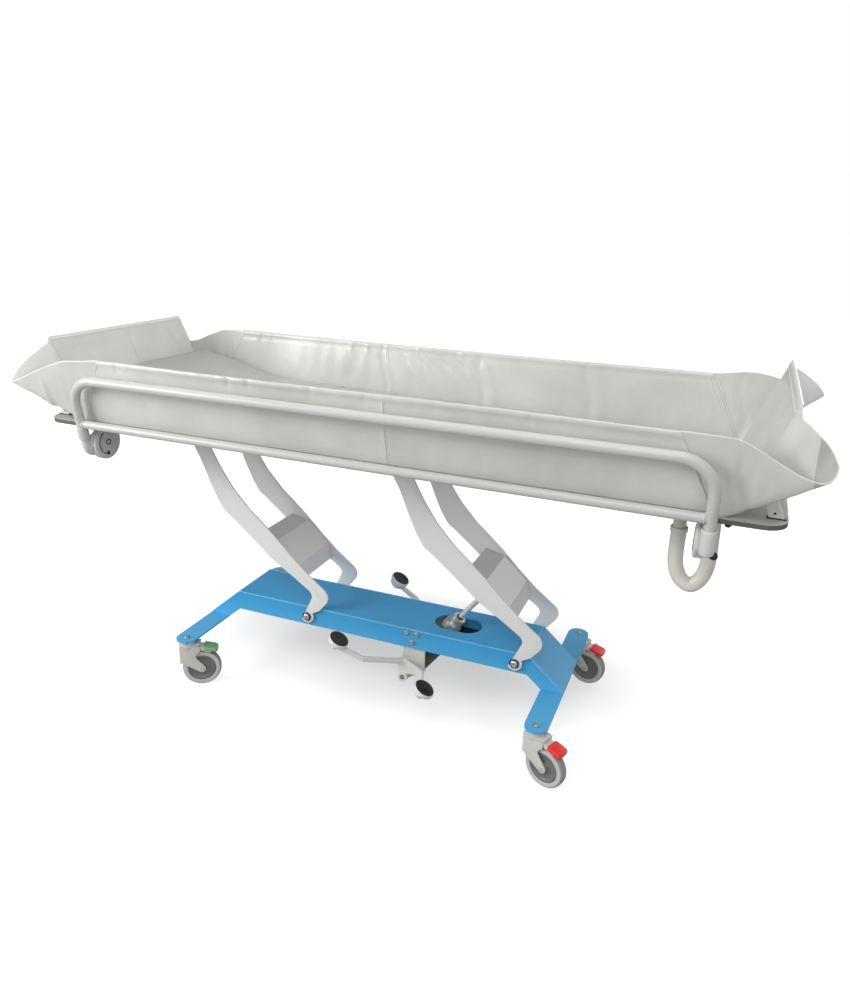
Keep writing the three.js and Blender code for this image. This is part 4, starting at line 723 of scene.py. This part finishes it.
post_foot = [(post_x, z) for z in (0.12, 0.08, 0.033)]
half_line = arc(bend_x, bend_z, bend_radius, 90, 0, 14) + post_foot
rail_line = [(-x, rail_y, z) for x, z in reversed(half_line)]
rail_line += [(bend_x * (i / 7 - 1), rail_y, bend_z + bend_radius) for i in range(1, 14)]
rail_line += [(x, rail_y, z) for x, z in half_line]
bead = mm((12.2, 12.8), (14.6, 13.1), (15, 14.6), (13.4, 16.2), (12.2, 16.4))
# the sleeve at the foot of the post, over the elbow of the hinge
sleeve = mm((14.1, 72), (15.8, 70), (16.4, 34), (16, 31.8), (13.6, 31.8), (13.6, 36), (14.1, 72))
fixed_disc = mm((0, -12.3), (46, -12.3), (53, -10), (53, -0.3), (0, -0.3))
moving_disc = mm((0, 0.3), (53, 0.3), (53, 9.8), (49, 12), (30, 12), (28, 10.4), (0, 10.4))
bush = mm((6.2, -0.8), (9.8, -0.8), (9.4, 1.4), (6.8, 1.4), (6.2, -0.8))
button = mm((0, -1), (6.2, -1), (5.8, 1.2), (4, 1.8), (3.4, 0.8), (0, 0.8))
socket_cup = mm(
    (0, -11), (16.5, -11), (18, -7), (18, 50), (17, 54), (14.6, 54), (14.2, 33), (0, 33))
elbow = mm(
    (898, -58, 31.5), (898, -58, 18), (898, -57.5, 4), (897.5, -53, -8), (896.5, -44, -16),
    (895.5, -32, -18), (895, -18, -14))
web = rounded(mm((-60, -4), (-46, -12), (-30, -12), (-20, 40), (-40, 40), (-52, 20)), 0.006)
knob = [*mm((0, 0.3), (4, 0.3), (4, 12.3), (6, 12.5), (6, 26.2)), *arc(0, 0.035, 0.01, -50, 90)]

for label, side in (("near", -1), ("far", 1)):
    # a rail is modelled in its own plane, its hinge axis on the origin and its face to -Y; the
    # far one is turned about Z, so its ends change places
    upright_place = shift(0, side * hinge_y, hinge_z) @ turn(0 if side < 0 else 180, "Z")
    leaning_place = upright_place @ rail_lean
    put(f"{label}_rail_tube", joined([
        pipe(rail_line, 0.014),
        pipe([(-0.893, rail_y, lower_z), (0.893, rail_y, lower_z)], 0.0125),
        *(turned(bead, 0.0008, 32, shift(end * post_x, rail_y, lower_z) @ turn(-90 * end, "Y"))
          for end in (-1, 1)),
        turned(sleeve, 0.0005, 40, shift(side * post_x, rail_y))], leaning_place),
        tube_white, f"{label}_rail", f"{label}_side_rail")

    for end, along, plastic in (("head", -side, hinge_pale), ("foot", side, hinge_grey)):
        hinge = f"{label}_{end}_hinge"
        face = shift(along * 0.88, 0) @ turn(90 * along, "Y")
        flange = oblong(along * 0.8417, along * 0.8797, -0.044, 0.044)
        put(f"{hinge}_plate", joined([
            turned(fixed_disc, 0.0016, 72, face),
            plate(rounded(flange, 0.004), 0.048, 0.053, 0.0012, "Z")], upright_place),
            plastic, "platform", f"{hinge}_bracket")

        # a pale guide line round part of the fixed disc's face, with a round stop at one end, and
        # beside it a black line that is painted shade, standing for the shadow in a groove
        groove_shade_line = [(along * 0.8673, y, z) for y, z in arc(0, 0, 0.0372, 118, 262, 24)]
        guide = [(along * 0.8675, y, z) for y, z in arc(0, 0, 0.034, 120, 250, 24)]
        stop_y, stop_z = arc(0, 0, 0.034, 262, 262, 1)[0]
        put(f"{hinge}_bush", joined([
            pipe(groove_shade_line, 0.0011, 10),
            *(turned(profile, 0.0004, 28, shift(along * 0.8675, y, z) @ turn(-90 * along, "Y"))
              for profile, y, z in ((button, stop_y, stop_z), (bush, 0, 0)))], upright_place),
            bearing_black, "platform")
        put(f"{hinge}_guide", joined([pipe(guide, 0.0016, 10)], upright_place), hinge_mark,
            "platform")

        if end == "head":
            socket = turned(socket_cup, 0.0014, 48, shift(along * post_x, rail_y))
        else:
            socket = pipe(smooth_line([(along * x, y, z) for x, y, z in elbow], 4), 0.0125)
        arm = plate(web, *sorted((along * 0.8805, along * 0.8925)), 0.002, "X")
        put(f"{hinge}_cup", joined([
            turned(moving_disc, 0.0014, 72, face),
            joined([socket, arm], rail_lean)], upright_place),
            plastic, f"{label}_rail", f"{hinge}_socket")

    # the knob is at the head end of both rails
    put(f"{label}_knob_ball", turned(knob, 0.0004, 40, upright_place
        @ shift(-side * 0.88, -0.032, -0.033) @ turn(-90 * side, "Y")),
        knob_black, f"{label}_knob", f"{label}_lock_knob")


# --- Tray liner ---
# Coated polyester welded into a tray: padded side walls with a rolled hem, thin folded ears that
# let the end flaps lean out, and a stiff strip along the top of each flap.

board_top = 0.8804
# the rim of each corner fold, from the end of the wall to the end flap: along, across and height
# over the board in mm, and how far the sheet swells; every corner hangs a little differently
ear_rims = {
    (1, -1): (
        (855, 377, 191.5, 0.2), (918, 378, 190, 0.5), (930, 378.5, 188, 0.8), (958, 380, 177.5, 1),
        (1005, 383, 153.5, 1), (1056, 388, 129, 0.8), (1084, 391, 121.5, 0.6),
        (1103, 393, 119.5, 0.4), (1117, 392.5, 126.5, 0.2), (1125, 387, 140, 0.1),
        (1127, 379, 155, 0), (1118, 370, 173, 0), (1102, 360, 192, 0), (1088, 351, 206, -0.2),
        (1066, 338, 224, -0.4), (1046, 324, 238, -0.2)),
    (1, 1): (
        (860, 376, 199, 0.2), (905, 376.5, 205.5, 0.3), (943, 376, 209, 0.6),
        (975, 374.5, 207, 0.8), (1009, 372, 201, 1), (1060, 370.5, 188, 1), (1105, 369, 173, 0.6),
        (1130, 366.5, 165, 0.2), (1140, 360, 164, 0), (1134, 353, 176, 0), (1119, 346, 194, 0),
        (1100, 340, 209, -0.2), (1072, 333, 229, -0.3), (1047, 325, 244, -0.2)),
    (-1, -1): (
        (860, 378, 192, 0.1), (920, 379.5, 187, 0.2), (940, 380, 184, 0.4), (965, 380.5, 176, 0.5),
        (1006, 381, 162, 0.5), (1056, 382, 141, 0.4), (1103, 384, 120, 0.2),
        (1134, 385.5, 108.5, 0), (1144, 383, 108, 0), (1139, 378, 119, 0), (1126, 371, 140, 0),
        (1107, 359, 165, -0.2), (1083, 343, 189, -0.2), (1062, 330, 208, 0), (1046, 321, 222, 0)),
    (-1, 1): (
        (855, 376, 193, 0.2), (905, 372, 190, 0.4), (930, 369, 181, 0.6), (966, 360, 166, 0.8),
        (1000, 350, 150, 0.8), (1030, 342, 144, 0.6), (1060, 334, 144, 0.2), (1072, 326, 150, 0),
        (1070, 318, 162, 0), (1062, 310, 178, 0), (1052, 303, 200, 0), (1044, 297, 222, 0)),
}
full, thin = 1.0, 0.0
stations = []
for end, side, wall, on, flap_top, flap_half in (
    (1, -1, 0.192, 0, 0.262, 0.317), (1, 1, 0.1975, 0.028, 0.262, 0.317),
    (-1, 1, 0.197, 0, 0.2375, 0.293), (-1, -1, 0.197, 0, 0.2375, 0.317),
):
    # foot x and y, rim x, y and height, how full the padding is, and the swell of the sheet
    rows = [(0, 0.345, 0, 0.375, 0.195, full, 0), (0.4, 0.345, 0.38, 0.375, 0.195, full, 0),
            (0.78, 0.345, 0.715, 0.375, wall, full, 0),
            (0.884 + on, 0.345, 0.79 + on, 0.3752, wall, full, 0),
            (0.901 + on, 0.345, 0.806 + on, 0.3755, wall, full, 0),
            (0.905 + on, 0.345, 0.811 + on, 0.3757, wall, 0.2, 0)]
    rim = ear_rims[end, side]
    for k, (x, y, height, swell) in enumerate(rim):
        share = k / (len(rim) - 1)
        rows.append((0.911 + on + (0.028 - on) * share ** 0.6, 0.345 - 0.036 * share ** 1.6,
                     x / 1000, y / 1000, height / 1000, thin, swell))
    for foot_y, back, padding in ((0.304, 0, 0.1), (0.299, 0.006, 0.8), (0.26, 0.042, full),
                                  (0, flap_half, full)):
        rows.append((0.94, foot_y, 1.042, flap_half - back, flap_top, padding, 0))
    rows = [(end * fx, side * fy, end * rx, side * ry, *rest) for fx, fy, rx, ry, *rest in rows]
    stations += (rows[::-1] if end * side > 0 else rows)[:-1]

columns = []
longest_bend = 0.06
for i in range(len(stations)):
    before, a, b, after = (stations[(i + k) % len(stations)] for k in (-1, 0, 1, 2))
    span = math.dist(a[2:5], b[2:5])
    # a straight stretch next to a bend would overshoot, so it is followed straight
    straight = span > longest_bend
    near = before if math.dist(before[2:5], a[2:5]) < longest_bend else [
        2 * p - q for p, q in zip(a, b)]
    far = after if math.dist(b[2:5], after[2:5]) < longest_bend else [
        2 * q - p for p, q in zip(a, b)]
    steps = max(3, round(span / (0.006 if straight else 0.0045)))
    for t in (step / steps for step in range(steps)):
        column = [p + (q - p) * t for p, q in zip(a, b)]
        if not straight:
            column[:5] = [spline(*four, t) for four in zip(near, a, b, far)][:5]
        columns.append(column)
around = range(len(columns))
following = columns[1:] + columns[:1]

levels = [0, 0.02, 0.05, 0.09, *(0.14 + 0.72 * i / 22 for i in range(23)),
          0.9, 0.935, 0.96, 0.98, 0.992, 1]


def hump(x, place, width):
    return math.exp(-((x - place) / width) ** 2)


def wrinkle(x, y, z, seed):
    return noise.noise(Vector((x + seed, y + 2.7 * seed, z)))


def liner_point(column, level):
    """A point of the plain ruled surface between the foot and the rim of the sheet."""
    fx, fy, rx, ry, height = column[:5]
    return Vector((fx + (rx - fx) * level, fy + (ry - fy) * level, board_top + height * level))


def sheet_normal(i, level):
    across = liner_point(following[i], level) - liner_point(columns[i - 1], level)
    rise = (liner_point(columns[i], min(level + 0.02, 1))
            - liner_point(columns[i], max(level - 0.02, 0)))
    return across.cross(rise).normalized()


# where the wall is pinched under its hem, and how deep
pinches = ((-0.745, 1), (-0.7, 0.6), (-0.368, 1), (-0.305, 1), (-0.115, 0.7), (0.04, 0.7),
           (0.47, 0.8), (0.55, 0.5))
# tall folds of the far wall: place, width and depth
tall_folds = ((-0.236, 0.007, 0.004), (-0.222, 0.006, -0.0036), (0.115, 0.012, 0.004),
              (0.15, 0.01, -0.003), (0.47, 0.012, 0.003), (0.505, 0.014, -0.0026),
              (0.925, 0.014, 0.004))
slanting_folds = (-0.175, -0.12, -0.085, -0.03, 0.03)
near_joint = 0.09


def shape_of(i, level):
    """Where the outer and the inner face of the sheet lie, from its plain ruled surface."""
    fx, fy, rx, ry, height, full, swell = columns[i]
    x, y, z = fx + (rx - fx) * level, fy + (ry - fy) * level, height * level
    belly = math.sin(math.pi * level)
    wall = max(0, min(1, full))
    thin = 1 - wall
    side = 1 if fy > 0 else -1
    # padding is thin at both welds, and the hem is a roll along the top
    padding = 0.003 + wall * 0.0062 * belly ** 0.35
    roll = wall * 0.0022 * hump(level, 0.965, 0.03)
    dip = wall * 0.0011 * hump(level, 0.9, 0.022)
    out = 0.0042 * wrinkle(7 * x, 5 * y, 6 * z, 3.1 * side) * belly
    out += 0.0011 * wrinkle(26 * x, 14 * y, 9 * z, 7.7) * belly
    for place, depth in pinches:
        out -= wall * 0.004 * depth * hump(x, place, 0.006) * hump(level, 0.93, 0.08)
    out += thin * belly * (swell * 0.01 + 0.002 * wrinkle(22 * x, 22 * y, 7 * z, 5.5)
                           + 0.0013 * wrinkle(70 * x, 70 * y, 16 * z, 1.5))
    if abs(x) > 0.93 and abs(fy) < 0.31:
        # the flap's face is pulled into fine slanting creases near its lower corners
        pull = max(0, 1 - abs(abs(y) - 0.27) / 0.1) * belly
        out += pull * 0.0024 * wrinkle(72 * (abs(y) + 0.35 * z), 3 * z, 2, 9.1)
    if side < 0:
        # the head corner is creased upright where its end bends away, and bent in lower down
        if fx > 0.9 and x > 1.086 and abs(y) < 0.372:
            out += 0.42 * (x - 1.086) * min(1, (0.372 - abs(y)) / 0.012)
        if fx > 0.9 and y < -0.345:
            out -= 0.006 * hump(x, 0.936 + 0.045 * (1 - level) ** 2, 0.016) * belly
        # the foot corner has one soft upright crease
        if fx < -0.9 and y < -0.345:
            out += 0.0042 * hump(x, -1.012 - 0.02 * level, 0.008) * belly
        # the wall has one welded joint, a raised line from the board to the hem
        out += wall * 0.002 * hump(x, near_joint, 0.0045) * min(1, 4 * belly)
    else:
        # a few folds stand in the far wall, where the sheet is longer than its padding
        for place, width, depth in tall_folds:
            out += depth * hump(x, place + 0.014 * math.sin(5.5 * level), width) * belly ** 0.5
        for place in slanting_folds:
            out += (0.0046 * hump(x, place + 0.16 * (0.85 - level), 0.008)
                    * hump(level, 0.76, 0.14))
    # soft pleats run up the padded wall, deepest near its hem
    calm = 0.35 if side > 0 and x < -0.25 else 1
    out += wall * calm * 0.0016 * wrinkle(34 * x, 2 * y, 2.5 * z, 4.4) * level ** 2
    out += wall * 0.003 * belly ** 0.5 + roll
    return out - dip, out - padding - roll * 1.7 + dip


def on_sheet(i, level, lift=0, inside=False):
    """A point on the sheet's outer or inner face at a column and a level."""
    i %= len(columns)
    outer, inner = shape_of(i, level)
    return liner_point(columns[i], level) + sheet_normal(i, level) * (
        inner - lift if inside else outer + lift)


liner_work = bmesh.new()
loops = []
rim_turns = [math.pi * k / 5 for k in range(1, 5)]
for i in around:
    outer = [on_sheet(i, level) for level in levels]
    inner = [on_sheet(i, level, inside=True) for level in levels]
    # a rounded top between the two faces
    centre, reach = (outer[-1] + inner[-1]) / 2, (outer[-1] - inner[-1]) / 2
    up = (outer[-1] - outer[-3]).normalized() * reach.length
    top = [centre + reach * math.cos(a) + up * math.sin(a) for a in rim_turns]
    loops.append([liner_work.verts.new(p) for p in outer + top + inner[::-1]])
skin(liner_work, loops, closed=True)

coated = Finish("coated fabric", coat_roughness=0.16)
along, sideways = coated.axis("X"), coated.axis("Y")
plain = coated.clouds((4, 5, 0.6), 0.35, 0.75, "C4C4C0", "D4D4D0")
# painted shade: the very end of the near head corner, past its upright crease, is painted a darker
# grey, as if shaded deep in the fold
fold_end_shade = coated.ramp(along, 1.084, 1.0875) * coated.ramp(0 - sideways, 0.33, 0.34)
plain = coated.blend_colours(fold_end_shade, plain, "A6A7A3")
# painted light: the far head ear's outer face is painted near white, as if it caught the light
far_ear_light = coated.ramp(along, 1.02, 1.05) * coated.ramp(sideways, 0.3, 0.33)
plain = coated.blend_colours(far_ear_light, plain, "F4F4F2")
# painted shade: a dark band along the foot of the side walls, where the sheet tucks under the pad
# beside the board
wall_foot_shade = 1 - coated.ramp(coated.axis("Z"), 0.885, 0.8915)
beside_wall = coated.ramp(0.915 ** 2 - along * along, 0, 0.02)
coated.set("Base Color", coated.blend_colours(wall_foot_shade * beside_wall, plain, "5E5F5C"))
# wiping has taken the gloss off the near head corner
dulled = coated.ramp(along, 0.96, 1.02) * coated.ramp(0 - sideways, 0.16, 0.26)
coated.set("Coat Weight", 0.35 - 0.29 * dulled)
coated.set("Roughness", 0.28 + 0.14 * coated.noise(9, 4) + 0.24 * dulled)
hammered = coated.noise(6, 3) + 0.25 * coated.noise(22, 3) + 0.02 * coated.noise(700, 2)
coated.set("Normal", coated.bump(hammered, 0.006, 0.55))
liner = put("liner", mesh_of(liner_work), coated, "platform", "tray_liner", 70)

# white weld lines beside the seams, thin piping round the ears, and the strip along each flap
weld_white = Finish("weld white", coat_weight=0.3, coat_roughness=0.2)
weld_white.set("Base Color", weld_white.blend_colours(
    weld_white.noise(30, 3), "D6D6D3", "E6E6E3"))
weld_white.wear(0.3, 0.15, (60, 3), (500, 3), 0.00006)


def trim_piece(name, mesh):
    return put(name, mesh, weld_white, "platform")


welds = []
nearly_full, ear_end = 0.999, 0.9345
for seam in around:
    if ((columns[seam][5] >= nearly_full) == (following[seam][5] >= nearly_full)
            or abs(columns[seam][0]) >= ear_end):
        continue
    # the head end's far wall is welded twice, the others once
    twice = columns[seam][0] > 0 and columns[seam][1] > 0
    for beside, inside in ((-3, True), (5, True), (-3, False)) if twice else (
            (0, True), (0, False)):
        line = [on_sheet(seam + beside, 0.02 + 0.955 * k / 30, 0.0005, inside) for k in range(31)]
        welds.append(pipe(line, 0.0019 if twice else 0.0013, 8))
joint_column = min((i for i in around if columns[i][1] < 0),
                   key=lambda i: abs(columns[i][2] - near_joint))
welds.append(pipe([on_sheet(joint_column, 0.05 + 0.85 * k / 30) for k in range(31)], 0.0014, 8))
trim = [trim_piece("seam_welds", joined(welds))]

runs = []
for i in around:
    if columns[i][5] < 0.5:
        rim_middle = (on_sheet(i, 1) + on_sheet(i, 1, inside=True)) / 2 + Vector((0, 0, 0.0012))
        if columns[i - 1][5] < 0.5 and runs:
            runs[-1].append(rim_middle)
        else:
            runs.append([rim_middle])
trim.append(trim_piece("ear_piping", joined(pipe(run, 0.0014, 10) for run in runs)))

for end, name, band_foot in ((1, "head", 0.93), (-1, "foot", 0.972)):
    strip = bmesh.new()
    flap = sorted((column[3], i) for i, column in enumerate(columns)
                  if end * column[2] > 1.04 and abs(column[3]) < 0.318 and column[5] > 0.5)
    rings = []
    for _, i in flap:
        outer, inner = on_sheet(i, band_foot, 0.001), on_sheet(i, band_foot, 0.001, inside=True)
        high, behind = on_sheet(i, 1, 0.0016), on_sheet(i, 1, 0.0016, inside=True)
        lean = (high - outer).normalized()
        rings.append([strip.verts.new(p) for p in (
            outer, high - lean * 0.001, high.lerp(behind, 0.2) + lean * 0.0042,
            behind.lerp(high, 0.2) + lean * 0.0042, behind - lean * 0.001, inner)])
    trim.append(trim_piece(f"{name}_flap_strip", capped(strip, rings)))

liner_area = sum(
    (liner_point(there, 0.5) - liner_point(here, 0.5)).length
    * (liner_point(here, 1) - liner_point(here, 0)).length
    for here, there in zip(columns, following))


# --- Floor pad ---
# A foam pad in a slightly duller fabric. It rises to a wedge at the foot end, falls toward the
# drain, has a rounded welded edge and sinks in a little along two pressed channels.

half_x, half_y = 0.926, 0.333
pad_foot = board_top + 0.0004


def pad_top(x, y):
    """Height of the pad's upper face above its underside."""
    height = 0.022 + 0.034 * (0.94 - x) / 1.88 + 0.007 * (1 - (y / half_y) ** 2)
    height += 0.072 * min(1, max(0, (-0.61 - x) / 0.316)) ** 1.25
    height -= 0.006 * (hump(x, -0.36, 0.01) + hump(x, 0.3, 0.01))
    height += 0.0022 * noise.noise(Vector((5 * x, 6 * y, 4.2)))
    height += 0.0007 * noise.noise(Vector((24 * x, 20 * y, 1.1)))
    edge = min(half_x - abs(x), half_y - abs(y))
    height -= 0.014 * math.exp(-edge / 0.01)
    away = math.dist((x, y), (stub_x, stub_y))
    return max(0.004, height - max(0, height - 0.005) * math.exp(-(away / 0.048) ** 4))


pad_work = bmesh.new()
grid = []
for i in range(133):
    x = half_x * (i / 66 - 1)
    # the raised end leans out with the end flap
    lean = 0.052 * max(0, (-0.8 - x) / 0.126) ** 2
    grid.append([pad_work.verts.new((x - lean, y, pad_foot + pad_top(x, y)))
                 for y in (half_y * (j / 28 - 1) for j in range(57))])
for here, there in zip(grid, grid[1:]):
    for k in range(56):
        pad_work.faces.new((here[k], there[k], there[k + 1], here[k + 1]))
skirt = bmesh.ops.extrude_edge_only(pad_work, edges=[e for e in pad_work.edges if e.is_boundary])
for v in skirt["geom"]:
    if isinstance(v, bmesh.types.BMVert):
        v.co.x = max(v.co.x, -half_x)
        v.co.z = pad_foot
bmesh.ops.contextual_create(pad_work, geom=[e for e in pad_work.edges if e.is_boundary])
pad_fabric = Finish("pad fabric", coat_weight=0.2, coat_roughness=0.25)
pad_fabric.set("Base Color", pad_fabric.clouds((4, 5, 0.6), 0.35, 0.75, "ABABA7", "BCBCB8"))
pad_fabric.set("Roughness", 0.34 + 0.14 * pad_fabric.noise(9, 4))
pad_fabric.set("Normal", pad_fabric.bump(
    pad_fabric.noise(6, 3) + 0.25 * pad_fabric.noise(22, 3), 0.005, 0.5))
pad_cover = put("pad_cover", mesh_of(pad_work), pad_fabric, "platform",
                "floor_pad", 75)


# --- Floor and light ---
# A pale studio floor under a large soft light. The backdrop is white to the camera.

floor_finish = Finish("floor", roughness=0.95, specular_ior_level=0.05, emission_strength=1.0)
floor_finish.set("Base Color", floor_finish.blend_colours(
    floor_finish.noise(0.7, 3), "AAAAAA", "B0B0B0"))
# the glow, light seen only by the camera, makes the floor white away from the trolley; it is weaker
# in an ellipse under the trolley, which paints a soft shadow there on top of the lamps' own
along, across = floor_finish.axis("X") + 0.05, floor_finish.axis("Y") - 0.25
under = along * along * 1.6 + across * across * 4.9
far_off = along * along + across * across
glow = (0.41 + 0.36 * floor_finish.ramp(under, 0.1, 1.1)
        + 0.26 * floor_finish.ramp(far_off, 1.2, 6.0)) * floor_finish.node("LightPath", {}, {})
floor_finish.set("Emission Color", floor_finish.blend_colours(glow, "000000", "FFFFFF"))
floor_work = bmesh.new()
bmesh.ops.create_grid(floor_work, x_segments=4, y_segments=4, size=14)
floor = added("floor", mesh_of(floor_work))
floor.data.materials.append(floor_finish.material)

world = bpy.data.worlds.new("studio")
bpy.context.scene.world = world
world.use_nodes = True
nodes, join = world.node_tree.nodes, world.node_tree.links.new
sky, seen = nodes["Background"], nodes.new("ShaderNodeBackground")
for light, code, strength in ((sky, "F5F5F5", 0.42), (seen, "FFFFFF", 1.0)):
    light.inputs["Color"].default_value = colour(code)
    light.inputs["Strength"].default_value = strength
either = nodes.new("ShaderNodeMixShader")
join(nodes.new("ShaderNodeLightPath").outputs["Is Camera Ray"], either.inputs[0])
join(sky.outputs[0], either.inputs[1])
join(seen.outputs[0], either.inputs[2])
join(either.outputs[0], nodes["World Output"].inputs[0])

for name, place, aim, size, power in (
    ("overhead", (0.2, -0.2, 3.6), (0, 0, 0.8), 3.4, 38),
    ("high_front", (0.6, -2.9, 3.4), (0, 0, 0.5), 2.0, 40),
    ("left", (-2.7, -2.2, 1.9), (-0.6, 0, 0.8), 1.6, 74),
    ("right", (2.8, -3.0, 1.3), (0.3, 0, 0.5), 1.8, 13),
    ("back", (2.2, 2.8, 2.2), (0.4, 0, 0.8), 2.2, 24),
):
    lamp = added(name, bpy.data.lights.new(name, "AREA"))
    lamp.data.size = size
    lamp.data.energy = power
    lamp.location = place
    lamp.rotation_euler = (Vector(aim) - Vector(place)).to_track_quat("-Z", "Y").to_euler()

bpy.context.scene.view_settings.view_transform = "Standard"
